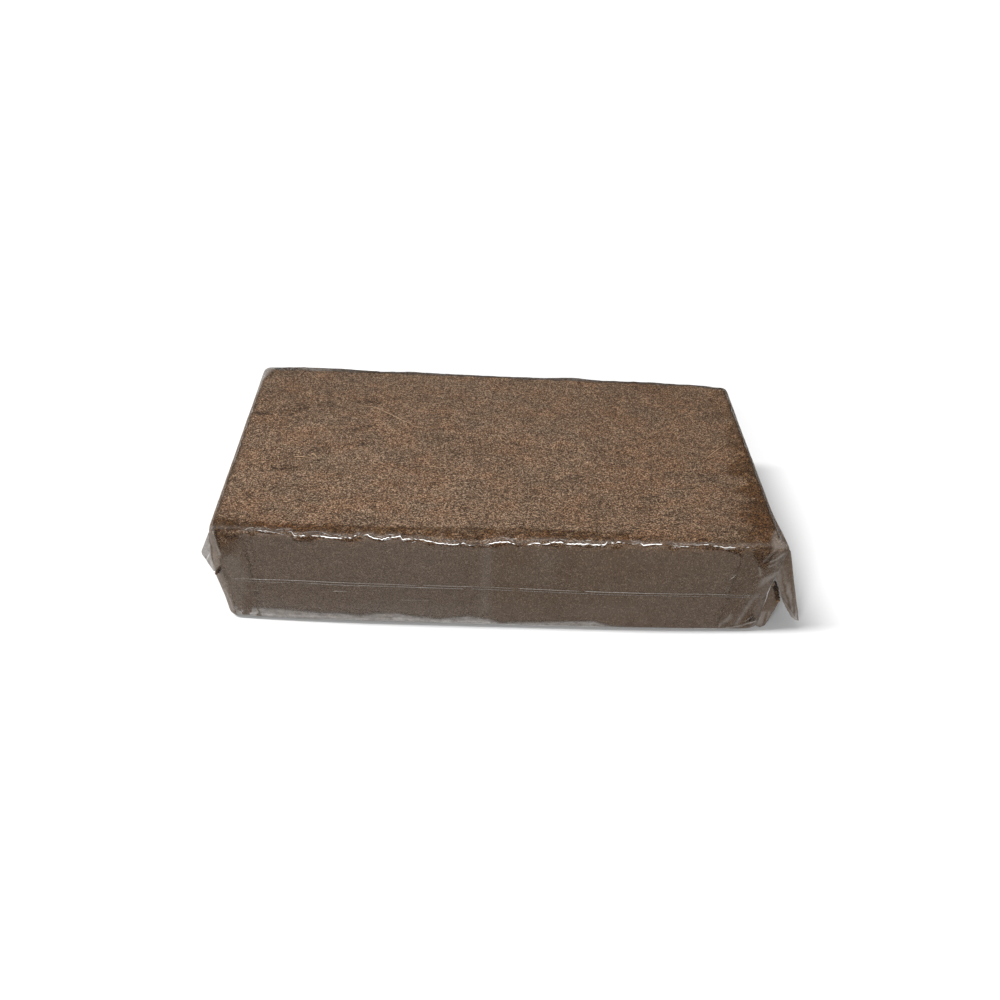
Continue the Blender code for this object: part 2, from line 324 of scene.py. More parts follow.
def coir_damp_and_shade(flat):
    """How dark the pith is: loose along the front top edge, the right end and the front corners, plus painted
    shade on the top.
    """
    wavy = layered(flat, (7 * MM, 3 * MM, 4 * MM), 3, seed=61)
    blotches = smooth(0.65 + 1.7 * layered(flat, (1.6 * MM, 1.2 * MM, 1.2 * MM), 2, seed=67))
    back = np.clip(flat[:, 1] + COIR_HALF[1], 0, None)
    down = np.clip(COIR_HALF[2] - flat[:, 2], 0, None)
    from_right = COIR_HALF[0] - flat[:, 0]
    from_left = COIR_HALF[0] + flat[:, 0]
    low, high, strength = read_off(DAMP_BAND, flat[:, 0] / MM)
    place = back / MM + 1.8 * wavy
    stretches = 0.95 + 0.4 * smooth(0.5 + 1.2 * noise(flat * (1, 0, 0), 9 * MM, seed=73))
    front_edge = band(place, low, high, 1.6) * strength * stretches * (0.4 + 0.6 * blotches)
    front_edge *= smooth(1.4 - down / (2 * MM))
    below_edge = smooth(1.5 - down / (2.4 * MM)) * smooth(down / MM) * (0.6 + 0.4 * blotches)
    below_edge *= back < 1 * MM
    right_end = 1.3 * smooth(1.2 - from_right / (14 * MM) + 0.9 * wavy) * smooth(1.2 - down / (12 * MM))
    right_end *= (0.5 + 0.5 * smooth(1.3 - back / (70 * MM))) * (0.65 + 0.35 * blotches)
    to_left_corner = np.hypot(np.hypot(from_left * 0.5, down), back)
    to_right_corner = np.hypot(np.hypot(from_right * 0.8, down * 0.8), back)
    left_corner = smooth(1.35 - to_left_corner / (8 * MM) + 0.7 * wavy)
    right_corner = smooth(1.3 - to_right_corner / (13 * MM) + 0.5 * wavy)
    corners = np.maximum(left_corner, right_corner) * (0.4 + 0.6 * blotches)
    # Painted shade: the top darker towards the right and the back.
    shade = 0.22 * smooth((flat[:, 0] / MM - 5) / 80) + 0.08 * smooth((flat[:, 1] / MM + 15) / 60)
    return np.max((front_edge, below_edge, right_end, corners, shade), axis=0)


def coir_fill(points):
    """How far the pith's ends and back are moved out to fill the film."""
    in_wall = smooth((COIR_HALF[1] - np.abs(points[:, 1])) / FILL_REACH)
    above_table = smooth((points[:, 2] + COIR_HALF[2]) / FILL_REACH)
    moved = np.zeros(points.shape)
    moved[:, 0] = END_FILL * points[:, 0] / COIR_HALF[0] * in_wall * above_table
    near_top = smooth(1 - (COIR_HALF[2] - points[:, 2]) / FILL_REACH)
    back_fill = LOW_BACK_FILL + (BACK_FILL - LOW_BACK_FILL) * near_top
    moved[:, 1] = back_fill * np.clip(points[:, 1] / COIR_HALF[1], 0, 1) * above_table
    return moved


def coir_surface(flat, lift=0.0):
    """Points of the brick's surface over points of its sharp box, raised by lift, with normals and tones."""
    middle, out = rounded(flat, COIR_HALF, coir_radius((flat[:, 2] / COIR_HALF[2] + 1) / 2))
    depth, tone = coir_depth(flat)
    return bulge(middle) + coir_fill(middle) - out * (depth - lift)[:, None] + COIR_LIFT, out, tone


def coir_brick(material):
    flat, quads = box_grid(COIR_HALF, COIR_CELLS, COIR_ARC_LINES, coir_radius)
    points, _, tone = coir_surface(flat)
    # The tone paints shade into the pits, and darkens the clusters of flakes.
    fields = {"tone": tone - 0.5 * flake_shade(flat), "damp_and_shade": coir_damp_and_shade(flat)}
    return mesh_piece("coir_brick", points, quads.tolist(), material, fields)


# Faces of the brick: the axis that they face along, and the side
TOP, UNDER, FRONT, BACK, RIGHT, LEFT = (2, 1), (2, -1), (1, -1), (1, 1), (0, 1), (0, -1)


def other_axes(face):
    return [axis for axis in range(3) if axis != face[0]]


def on_face(face, across, up):
    """Points of the brick's sharp box on one of its faces, from places across and up it."""
    axis, side = face
    u, v = other_axes(face)
    flat = np.empty((len(across), 3))
    flat[:, axis], flat[:, u], flat[:, v] = side * COIR_HALF[axis], across, up
    return flat


FIBRES_ON_TOP = 7350
FIBRES_ON_LONG_SIDES = 1900
FIBRES_ON_ENDS = 800
FIBRES_UNDER = 2200
LONGEST_FIBRE = 6.0 * MM
FACE_MARGIN = 1.0 * MM
FIBRE_RINGS = 5
FIBRE_SHAPE = ((1.0, 0.0), (-1.0, 0.0), (0.0, 0.8))  # a fibre's section: across and out, in half widths
FIBRE_POINTS = FIBRE_RINGS * len(FIBRE_SHAPE)
FIBRE_TAPER = np.array((0.45, 0.9, 1.0, 0.9, 0.35))
FIBRE_ARCH = np.array((-0.10, 0.0, 0.02, 0.0, -0.10)) * MM
FLAKE_SHARE = 0.26  # short, broad and dark
PALE_SHARE = 0.08  # long, thin and light


def fibre_tubes(flat, lift, widths):
    """Three-sided tubes, flat side down, over paths on the sharp box, as points and triangles."""
    points, out, _ = coir_surface(flat, lift)
    count = len(widths)
    paths, normals = points.reshape(count, FIBRE_RINGS, 3), out.reshape(count, FIBRE_RINGS, 3)
    side = np.cross(normals, np.gradient(paths, axis=1))
    side /= np.linalg.norm(side, axis=2)[..., None] + 1e-12
    half_widths = widths[:, None, None] * FIBRE_TAPER[None, :, None]
    rings = [paths + (side * across + normals * rise) * half_widths for across, rise in FIBRE_SHAPE]
    pattern = []
    for ring in range(FIBRE_RINGS - 1):
        for edge in range(3):
            a, b = ring * 3 + edge, ring * 3 + (edge + 1) % 3
            pattern += [(a, a + 3, b + 3), (a, b + 3, b)]
    last = (FIBRE_RINGS - 1) * 3
    pattern += [(0, 1, 2), (last, last + 2, last + 1)]
    faces = np.arange(count)[:, None, None] * FIBRE_POINTS + np.array(pattern)[None]
    return np.stack(rings, axis=2).reshape(-1, 3), faces.reshape(-1, 3)


def scatter_fibres(random, face, count):
    """Short fibres lying in the surface of one face: their tubes, and a tone and a darkening for each point.
    """
    reach_u, reach_v = COIR_HALF[other_axes(face)] - FACE_MARGIN
    start_u, start_v = random.uniform(-reach_u, reach_u, count), random.uniform(-reach_v, reach_v, count)
    kind = random.random(count)
    flake, pale = kind < FLAKE_SHARE, kind > 1 - PALE_SHARE
    length = np.clip(random.exponential(1.0 * MM, count) + 0.6 * MM, 0, LONGEST_FIBRE)
    length *= np.where(flake, 0.9, np.where(pale, 1.6, 1.0))
    angle = random.normal(0, np.where(flake, 0.45, 0.8), count)
    angle += np.where(random.random(count) < np.where(flake, 0.0, 0.2), math.pi / 2, 0)
    bend = random.normal(0, np.where(pale, 0.4, 0.3), count)
    along = np.linspace(-0.5, 0.5, FIBRE_RINGS)[None] * length[:, None]
    turn = angle[:, None] + bend[:, None] * along / (length[:, None] / 2)
    across = np.clip(start_u[:, None] + along * np.cos(turn), -reach_u, reach_u)
    up = np.clip(start_v[:, None] + along * np.sin(turn), -reach_v, reach_v)
    flat = on_face(face, across.reshape(-1), up.reshape(-1))
    rise = random.uniform(-0.05, 0.08, count)[:, None] * MM
    widths = random.uniform(0.05, 0.10, count) * np.where(flake, 1.6, np.where(pale, 1.25, 1.0)) * MM
    tubes, faces = fibre_tubes(flat, (rise + FIBRE_ARCH).reshape(-1), widths)
    tone = np.where(flake, 0.05 + 0.18 * random.random(count), random.uniform(0.35, 0.68, count))
    tone = np.where(pale, random.uniform(0.72, 0.98, count), tone)
    damp_and_shade = coir_damp_and_shade(flat.reshape(count, FIBRE_RINGS, 3)[:, FIBRE_RINGS // 2])
    return tubes, faces, np.repeat(tone, FIBRE_POINTS), np.repeat(damp_and_shade, FIBRE_POINTS)


# Fibres that stand out on the top: places (x, y) in millimetres, half width in millimetres, and tone
TOP_FIBRES = (
    (((-57.0, 24.2), (-50.4, 23.2), (-44.4, 19.5), (-39.6, 16.0), (-34.7, 12.9)), 0.15, 0.95),
    (((-81.6, 47.0), (-79.7, 45.1), (-77.8, 43.2), (-76.0, 41.2), (-74.1, 39.3)), 0.14, 0.88),
    (((-82.9, 47.7), (-83.3, 46.4), (-83.8, 45.0), (-84.2, 43.7), (-84.6, 42.3)), 0.13, 0.9),
    (((-89.8, 41.1), (-90.2, 40.0), (-90.6, 38.9), (-91.1, 37.7), (-91.5, 36.6)), 0.13, 1.0),
    (((81.4, -0.6), (83.4, 1.4), (85.4, 3.4), (87.5, 5.4), (89.5, 7.4)), 0.14, 1.05),
    (((-77.3, -9.2), (-76.0, -9.1), (-74.7, -9.0), (-73.4, -9.1), (-72.1, -9.2)), 0.22, 1.2),
    (((-71.7, -8.3), (-71.0, -7.6), (-70.4, -7.0), (-69.7, -6.6), (-69.0, -6.4)), 0.17, 1.1),
    (((-68.9, -9.3), (-69.4, -8.4), (-70.0, -7.6), (-70.8, -7.1), (-71.6, -7.0)), 0.15, 1.1),
    (((-27.0, -12.0), (-25.9, -11.6), (-24.7, -11.7), (-23.5, -12.2), (-22.5, -12.9)), 0.15, 1.1),
)
# Dark clusters of flakes on the top: the middle (x, y), and the reach along and across, in millimetres
TOP_FLAKES = (
    (-79.9, -15.5, 5.5, 2.2), (-69.2, -3.4, 5.0, 1.8), (-53.1, 0.7, 3.6, 1.2), (-80.0, 22.4, 3.0, 2.6),
    (-68.3, 24.0, 4.5, 1.6), (-53.5, 26.9, 5.5, 1.4), (-94.6, 17.0, 3.4, 0.9), (-54.0, 8.8, 6.0, 1.8),
)
FLAKES_PER_CLUSTER = 30


def flake_cluster(random, x, y, along, over):
    """Thin dark flakes lying close together, most of them along the brick."""
    count = FLAKES_PER_CLUSTER
    middle_x, middle_y = x + random.normal(0, 0.6 * along, count), y + random.normal(0, 0.9 * over, count)
    length, turn = random.uniform(0.8, 2.2, count), random.normal(0, 0.3, count)
    steps = np.linspace(-0.5, 0.5, FIBRE_RINGS)[None] * length[:, None]
    across = (middle_x[:, None] + steps * np.cos(turn)[:, None]).reshape(-1) * MM
    up = (middle_y[:, None] + steps * np.sin(turn)[:, None]).reshape(-1) * MM
    reach_u, reach_v = COIR_HALF[:2] - FACE_MARGIN
    flat = on_face(TOP, np.clip(across, -reach_u, reach_u), np.clip(up, -reach_v, reach_v))
    tubes, faces = fibre_tubes(flat, 0.06 * MM, random.uniform(0.07, 0.14, count) * MM)
    tones = random.uniform(0, 0.26, count)
    return tubes, faces, np.repeat(tones, FIBRE_POINTS), np.full(len(tubes), 0.2)


def top_fibres():
    """The fibres that stand out on the top, and the clusters of flakes, with their tones and darkenings."""
    parts = []
    for places, width, tone in TOP_FIBRES:
        flat = on_face(TOP, *np.array(places).T * MM)
        tubes, faces = fibre_tubes(flat, 0.2 * MM, np.array([width * MM]))
        parts.append((tubes, faces, np.full(len(tubes), tone), np.zeros(len(tubes))))
    random = np.random.default_rng(211)
    return parts + [flake_cluster(random, *cluster) for cluster in TOP_FLAKES]


def flake_shade(flat):
    """How much darker the pith of the top is in its clusters of flakes, 0 to 1."""
    wavy = layered(flat, 1.6 * MM, 2, seed=71)
    share = np.zeros(len(flat))
    for x, y, along, over in TOP_FLAKES:
        away = np.hypot((flat[:, 0] / MM - x) / along, (flat[:, 1] / MM - y) / over)
        share = np.maximum(share, smooth(1.25 - away + 0.9 * wavy))
    return share * (flat[:, 2] > COIR_HALF[2] - 1 * MM)


def coir_fibres(name, seed, faces_and_counts, material, more=()):
    random = np.random.default_rng(seed)
    parts = [scatter_fibres(random, face, count) for face, count in faces_and_counts]
    return joined_piece(name, [*parts, *more], material, COIR_FIELDS)


LUMP_CORNERS = np.array(((1, 0, 0), (-1, 0, 0), (0, 1, 0), (0, -1, 0), (0, 0, 1), (0, 0, -1)), float)
LUMP_WAIST = ((0, 2), (2, 1), (1, 3), (3, 0))
LUMP_FACES = np.array([(a, b, 4) for a, b in LUMP_WAIST] + [(b, a, 5) for a, b in LUMP_WAIST])
LUMP_POINTS = len(LUMP_CORNERS)


def grain_lumps(random, centres, sizes, out):
    """Small angular lumps, each an uneven octahedron."""
    count = len(centres)
    stretch = random.uniform(0.55, 1.25, (count, LUMP_POINTS, 1))
    turned = np.array([np.linalg.qr(m)[0] for m in random.normal(size=(count, 3, 3))])
    shape = np.einsum("nij,kj->nki", turned, LUMP_CORNERS) * stretch * sizes[:, None, None]
    flatten = np.einsum("nki,ni->nk", shape, out)[..., None] * out[:, None] * 0.45
    points = (centres[:, None] + shape - flatten).reshape(-1, 3)
    right_handed = np.linalg.det(turned)[:, None, None] > 0
    rows = np.where(right_handed, LUMP_FACES[None], LUMP_FACES[None, :, ::-1])
    return points, (rows + np.arange(count)[:, None, None] * LUMP_POINTS).reshape(-1, 3)


# Crumbs caught in the film at the right front corner and in the slit at the left: x and height in millimetres
RIGHT_CRUMBS = (
    (101.9, 26.7), (104.0, 23.4), (106.4, 17.4), (107.0, 15.2), (105.9, 15.8), (104.1, 19.9), (102.1, 23.7),
)
LEFT_CRUMBS = ((-98.6, 28.6), (-99.4, 27.4), (-101.0, 24.6), (-100.8, 24.2), (-99.2, 26.4))


def caught_crumbs(random, outline, y, count):
    """Crumbs inside an outline, hanging in a fold of the film at about one y."""
    low, high = np.min(outline, axis=0), np.max(outline, axis=0)
    spots = random.uniform(low, high, (count * 6, 2))
    spots = spots[inside(spots, outline)][:count]
    centres = stacked(spots[:, 0], y + random.uniform(-0.3, 0.7, len(spots)), spots[:, 1]) * MM
    out = np.tile((0.0, -1.0, 0.0), (len(centres), 1))
    points, faces = grain_lumps(random, centres, random.uniform(0.2, 0.6, len(centres)) * MM, out)
    high_up = np.clip((spots[:, 1] - low[1]) / (high[1] - low[1]), 0, 1)
    tones = np.clip(0.75 - 0.75 * high_up + random.normal(0, 0.2, len(spots)), 0, 1)
    return points, faces, np.repeat(tones, LUMP_POINTS), np.ones(len(points))


# Grains of each face: how many lie anywhere on it, and how many close to its edges
GRAINS = ((TOP, 4200, 3000), (FRONT, 1300, 1200), (BACK, 1300, 1200), (RIGHT, 700, 800), (LEFT, 700, 800))
# More grains of a face close to its front top edge: how many, and how far from it most of them lie
EDGE_GRAINS = {TOP: (3800, 2.6 * MM), FRONT: (900, 1.2 * MM)}
EDGE_GRAIN_REACH = 2.2 * MM
HIGH_V, LOW_V, HIGH_U, LOW_U = range(4)


def edge_grains(random, face, count, reach, sides):
    """Places on a face close to some of its sides."""
    half_u, half_v = COIR_HALF[other_axes(face)]
    near = np.abs(random.normal(0, reach, count))
    side = random.choice(sides, count)
    along_u, along_v = random.uniform(-half_u, half_u, count), random.uniform(-half_v, half_v, count)
    across = np.where(side < HIGH_U, along_u, np.where(side == HIGH_U, half_u - near, near - half_u))
    up = np.where(side < HIGH_U, np.where(side == HIGH_V, half_v - near, near - half_v), along_v)
    return on_face(face, across, up)


def coir_grains(material):
    """Pith grains: most along the crumbly edges, the rest anywhere on the faces."""
    random = np.random.default_rng(77)
    parts = []
    for face, spread, edge in GRAINS:
        half_u, half_v = COIR_HALF[other_axes(face)]
        across, up = random.uniform(-half_u, half_u, spread), random.uniform(-half_v, half_v, spread)
        all_sides = (HIGH_V, LOW_V, HIGH_U, LOW_U)
        flats = [on_face(face, across, up), edge_grains(random, face, edge, EDGE_GRAIN_REACH, all_sides)]
        if face in EDGE_GRAINS:
            front_top = LOW_V if face == TOP else HIGH_V
            flats.append(edge_grains(random, face, *EDGE_GRAINS[face], (front_top,)))
        flat = np.concatenate(flats)
        edges = len(flat) - spread
        sizes = np.concatenate([random.uniform(0.09, 0.26, spread), random.uniform(0.16, 0.46, edges)]) * MM
        centres, out, _ = coir_surface(flat, -0.25 * sizes)
        points, faces = grain_lumps(random, centres, sizes, out)
        tones = random.uniform(0.1, 0.86, len(sizes))
        parts.append((points, faces, np.repeat(tones, LUMP_POINTS), np.repeat(coir_damp_and_shade(flat), LUMP_POINTS)))
    parts.append(caught_crumbs(random, RIGHT_CRUMBS, -47.9, 420))
    parts.append(caught_crumbs(random, LEFT_CRUMBS, -50.3, 130))
    return joined_piece("coir_grains", parts, material, COIR_FIELDS)


# The film

# pale is whitish film, and also the painted highlights of creases and of the front top fold.
FILM_FIELDS = ("haze", "dust", "pale")
SKIN_CELLS = (240, 64, 40)
SKIN_ARC_LINES = 6
SKIN_HALF = FILM_HALF - SKIN_INSET


def end_out(points):
    """How far the film's end walls stand off the brick at points of its box."""
    height = (points[:, 2] + FILM_HALF[2]) / MM
    out = read_off(END_OUT, height)[0]
    out *= smooth((FILM_HALF[1] - np.abs(points[:, 1])) / (6 * MM) + 0.25)
    loose = smooth((LOOSE_CORNER_REACH - FILM_HALF[1] - points[:, 1]) / LOOSE_CORNER_REACH)
    out += (read_off(LOOSE_OUT, height)[0] - out) * np.where(points[:, 0] > 0, loose, 0)
    past = np.abs(points[:, 0]) - (FILM_HALF[0] - FILM_BOTTOM_RADIUS)
    moved = np.zeros(points.shape)
    moved[:, 0] = np.sign(points[:, 0]) * out * MM * np.clip(past / FILM_BOTTOM_RADIUS, 0, 1)
    return moved


# How far the film stands off loosely along its back top edge, by x, in millimetres
BACK_LIP = (
    (-99, 0.3), (-84, 0.9), (-68, 0.8), (-50, 0.2), (-37, 0.6), (-20, 0.3), (5, 0.2), (20, 0.3),
    (32, 1.0), (45, 0.2), (66, 0.4), (80, 0.1), (97, 0.4),
)


def back_lip(flat, middle):
    away = np.hypot(SKIN_HALF[1] - flat[:, 1], SKIN_HALF[2] - flat[:, 2])
    return read_off(BACK_LIP, middle[:, 0] / MM)[0] * MM * np.exp(-((away / (3.2 * MM)) ** 2))


def skin_wrinkles(flat, middle, out):
    """Small waves of the film: fine and broken along the edges, long and faint on the flat faces."""
    rough = np.exp(-edge_nearness(flat, SKIN_HALF) / (2.2 * MM))
    fine = noise(middle, (2.2 * MM, 1.6 * MM, 1.6 * MM), seed=5)
    finer = noise(middle, (1.1 * MM, 1.0 * MM, 1.0 * MM), seed=8)
    long = layered(middle, (30 * MM, 12 * MM, 12 * MM), 2, seed=9)
    ends = smooth((np.abs(middle[:, 0]) - 88 * MM) / (12 * MM))
    crumple = layered(middle, (9 * MM, 5 * MM, 7 * MM), 3, seed=13)
    height = 0.05 * long + (0.02 + 0.10 * rough) * fine + 0.05 * rough * finer
    below_top = SKIN_HALF[2] - flat[:, 2]
    side_walls = np.abs(out[:, 0]) * smooth(below_top / (14 * MM) - 0.15)
    height += crumple * (0.04 * ends + 0.6 * side_walls)
    room = np.where(out[:, 2] < -0.5, 0.0, 1.0)
    return out * (np.clip(height, -0.06, 0.9) * MM * room + back_lip(flat, middle))[:, None]


def skin_radius(share):
    return FILM_BOTTOM_RADIUS + (FILM_TOP_RADIUS - FILM_BOTTOM_RADIUS) * share - SKIN_INSET


def skin_surface(flat, proud=0.0):
    """Points of the film over points of its sharp box, standing proud by a distance, with their normals."""
    radius = skin_radius((flat[:, 2] / SKIN_HALF[2] + 1) / 2)
    middle, out = rounded(flat, SKIN_HALF, radius)
    points = bulge(middle + end_out(middle)) + skin_wrinkles(flat, middle, out)
    points += out * np.reshape(proud, (-1, 1)) + (0, 0, FILM_HALF[2])
    return points, middle, out


def film_skin_body():
    """The film round the brick, one sheet, with its haze, dust and paleness for each point."""
    flat, quads = box_grid(SKIN_HALF, SKIN_CELLS, SKIN_ARC_LINES, skin_radius)
    points, middle, out = skin_surface(flat)
    return points, quads, *skin_finish(flat, middle, out)


# The painted highlight of the crease where the film folds over the front top edge: x, and how far up the
# fold it lies from the fold's middle, in millimetres
GLINT_LINE = (
    (-99, 0.5), (-88, 0.9), (-84, 1.2), (-78, 0.6), (-72, 1.1), (-71, -0.1), (-64, -0.1), (-54, -0.4),
    (-51.7, -0.2), (-50, 0.7), (-46, 0.9), (-45, 0.3), (-41, -0.5), (-39.5, 0.3), (-35, 0.8), (-34, -0.2),
    (-27, 0.0), (-22, -0.9), (-17, -1.3), (-13, -0.9), (-11, -1.5), (-9.7, -1.1), (-6, -1.1), (-3, -0.3),
    (2, 0.3), (6, -0.75), (9, -0.65), (11, -0.2), (16, 0.0), (18, 0.6), (20.4, 0.7), (22.5, 0.0), (35.8, 0.2),
    (36.3, 1.0), (39.6, 0.6), (40.3, 1.3), (42.8, 0.8), (48.4, 0.9), (49.4, 0.3), (55.4, 0.9), (60.4, 0.4),
    (65.3, 0.45), (71.4, 1.2), (77.8, 0.2), (86, 0.3), (99, 0.6),
)
GLINT_BRANCHES = 150
# Where that painted highlight is dull, from x to x
GLINT_GAPS = (
    (-99, -88), (-77, -72.2), (-66.6, -65), (-51.6, -50.3), (6, 9), (55.8, 59.5), (65.5, 70.8), (72.5, 76.5),
    (79, 85), (87, 99),
)


def fold_line(x):
    """How far up the front fold the painted highlight of the crease lies at each x, from the fold's middle.
    """
    return read_off(GLINT_LINE, x / MM)[0] * MM


def up_the_fold(flat, out):
    """The distance up over the film's front top edge from the middle of its rounding, negative below it."""
    radius = FILM_TOP_RADIUS - SKIN_INSET
    angle = np.arctan2(np.clip(out[:, 2], 0, 1), np.clip(-out[:, 1], 0, 1))
    back = np.clip(flat[:, 1] + SKIN_HALF[1] - radius, 0, None)
    down = np.clip(SKIN_HALF[2] - radius - flat[:, 2], 0, None)
    return radius * (angle - math.pi / 4) + back - down


def to_line(spots, places):
    """How far each spot is from a line through places."""
    nearest = np.full(len(spots), np.inf)
    for start, end in zip(places[:-1], places[1:]):
        start, along = np.array(start, float), np.subtract(end, start, dtype=float)
        share = np.clip((spots - start) @ along / (along @ along), 0, 1)
        nearest = np.minimum(nearest, np.linalg.norm(spots - start - share[:, None] * along, axis=1))
    return nearest


def stroke(spots, places, width):
    """1 on a line, fading over its width."""
    return np.exp(-((to_line(spots, places) / width) ** 2))


def area(spots, outline, soft):
    """1 inside an outline, with a soft edge."""
    away = to_line(spots, outline + outline[:1])
    return smooth(0.5 + np.where(inside(spots, outline), away, -away) / soft)


def lay_marks(values, spots, marks, seed, where=1.0):
    """The haze, dust and paleness of a sheet with marks laid on in turn. Its spots are in millimetres."""
    haze, dust, pale = [value + np.zeros(len(spots)) for value in values]
    level = levelled(spots)
    shaken = spots + 0.4 * np.stack([layered(level, 2.5, 3, seed=seed + k) for k in range(2)], axis=1)
    for share_of, places, reach, target in marks:
        share = share_of(shaken, places, reach) * where
        for value, wanted in zip((haze, dust, pale), target):
            value += (wanted - value) * share
    return haze, dust, pale


def mottled(haze, dust, pale, mottle, most_haze, dusting):
    """Values kept within bounds, with the dust and the paleness uneven."""
    dust, pale = dust + dusting * mottle, pale * (1 + mottle)
    return np.clip(haze, 0, most_haze), np.clip(dust, 0, 1), np.clip(pale, 0, 1)


# Marks on the film, in the millimetres of their sheet: a stroke or an area, its places, its width or
# softness, and the haze, dust and paleness that it has. A haze over 1 stays solid where the film is uneven.
TOP_MARKS = (
    (area, (
        (97.1, -42.0), (98.3, -44.7), (101.5, -49.1), (95.2, -51.2), (95.5, -46.2),
    ), 1.6, (0.80, 0.95, 0.055)),
    (stroke, ((98.2, -41.0), (97.4, -45.0), (96.4, -49.5)), 0.5, (0.85, 0.8, 0.04)),
    (area, (
        (-100.6, 49.9), (-95.2, 49.5), (-97.4, 44.5), (-99, 38.8), (-99.6, 30.2), (-101, 30),
    ), 1.6, (0.62, 0.2, 0.06)),
    (stroke, ((-84.3, 48.3), (-71.9, 47.7)), 0.5, (0.5, 0.3, 0.04)),
)
HEM = (
    (-97.8, 6.2), (-94.8, 7.0), (-91.6, 6.5), (-87.0, 7.3), (-82.7, 7.2), (-77.5, 7.1), (-73.9, 6.8),
    (-65.8, 6.0),
    (-58.4, 6.2), (-51.0, 5.4), (-44.0, 7.0), (-37.0, 7.1), (-29.6, 5.6), (-21.0, 4.6), (-10.2, 6.9),
    (-2.6, 5.1),
    (1.8, 2.7), (10.5, 3.7), (21.4, 4.4), (36.6, 5.6), (44.7, 2.6), (55.9, 1.2), (55.9, -2.0), (-97.8, -2.0),
)
HEM_STREAKS = (
    (-95, 3.4), (-80, 3.0), (-66, 3.6), (-50, 2.8), (-36, 3.6), (-20, 2.6), (-8, 3.4), (4, 1.4), (40, 1.8),
)
HEM_MARKS = (
    (area, HEM, 2.4, (0.82, 0.0, 0.075)),
    (stroke, HEM_STREAKS, 0.6, (0.86, 0.0, 0.18)),
)
RIGHT_FRONT_MARKS = (
    (area, ((96.0, 47.0), (101.5, 47.0), (103, 30.0), (97.5, 33.0)), 1.8, (0.84, 1.0, 0.012)),
    (area, ((94.2, 27.4), (104, 27.6), (104, -1), (99.6, 5.7), (95.5, 20.3)), 1.8, (0.92, 0.88, 0.002)),
    (area, (
        (87.9, 44.4), (89, 47.5), (97, 47.5), (96.6, 44.2), (95.6, 39.1), (95.4, 35.3), (92.6, 37.1),
    ), 1.4, (0.08, 0.8, 0.0)),
    (area, (
        (95.6, 25.9), (95.1, 30.4), (98.2, 32.5), (101.0, 33.5), (101.7, 30.6), (99.0, 29.6),
    ), 2.0, (0.9, 0.3, 0.02)),
    (stroke, ((99.9, 43.0), (98.3, 41.1), (96.1, 39.6)), 0.4, (0.9, 0.2, 0.10)),
    (stroke, ((98.6, 39.0), (97.6, 37.6), (96.2, 36.8)), 0.35, (0.9, 0.3, 0.05)),
    (stroke, ((96.2, 45.6), (94.8, 42.3), (93.6, 40.0)), 0.7, (0.62, 0.5, 0.02)),
    (stroke, ((92.4, 4.2), (94.5, 17.7), (95.9, 21.4)), 0.8, (0.85, 0.4, 0.02)),
    (stroke, ((87.1, 5.6), (89.2, 10.0)), 0.8, (0.85, 0.4, 0.02)),
    (stroke, ((85.4, 1.7), (86.6, 5.0), (89.2, 8.2)), 0.5, (0.85, 0.4, 0.03)),
    (area, ((94.3, 5.4), (95.3, 10.8), (96.4, 12.0), (100.1, 6.1)), 1.6, (0.25, 0.9, 0.0)),
    (area, ((98.1, 2.7), (100.2, 5.6), (103.8, 5.2), (103.0, -0.4), (99.1, -0.5)), 1.0, (0.85, 0.5, 0.015)),
    (stroke, ((87.0, 1.7), (93.8, 3.1), (97.8, 5.5), (100.4, 5.1)), 0.3, (0.95, 0.2, 0.12)),
    (stroke, ((92.6, 36.5), (93.4, 34.6), (94.2, 32.2)), 0.4, (0.9, 0.4, 0.02)),
)
LEFT_FRONT_MARKS = (
    (area, (
        (-97.5, 36.0), (-91.5, 34.0), (-89.5, 26.0), (-91.5, 17.0), (-95.0, 6.0), (-98, 4),
    ), 4.0, (0.80, 0.72, 0.012)),
    (area, ((-97.5, 42.5), (-90.0, 42.5), (-92.5, 37.0), (-96.8, 33.5)), 2.4, (0.45, 1.0, 0.0)),
    (area, (
        (-98.2, 47.5), (-85.8, 47.5), (-87.5, 43.8), (-93.1, 41.9), (-97.2, 37.4),
    ), 1.5, (0.06, 1.0, 0.0)),
    (area, (
        (-98.3, 46), (-97.9, 34.3), (-98.9, 28.2), (-97.5, 18.6), (-96.8, -1), (-104, -1), (-104, 46),
    ), 0.8, (0.92, 0.62, 0.0)),
    (stroke, ((-98.3, 45.6), (-98.0, 42.8), (-97.8, 34.3)), 0.3, (0.9, 0.3, 0.06)),
    (stroke, ((-99.1, 15.8), (-98.0, 4.9)), 0.3, (0.9, 0.3, 0.07)),
    (stroke, ((-98.9, 28.2), (-99.9, 26.5), (-101.4, 24.0)), 0.4, (1.0, 1.0, 0.0)),
)
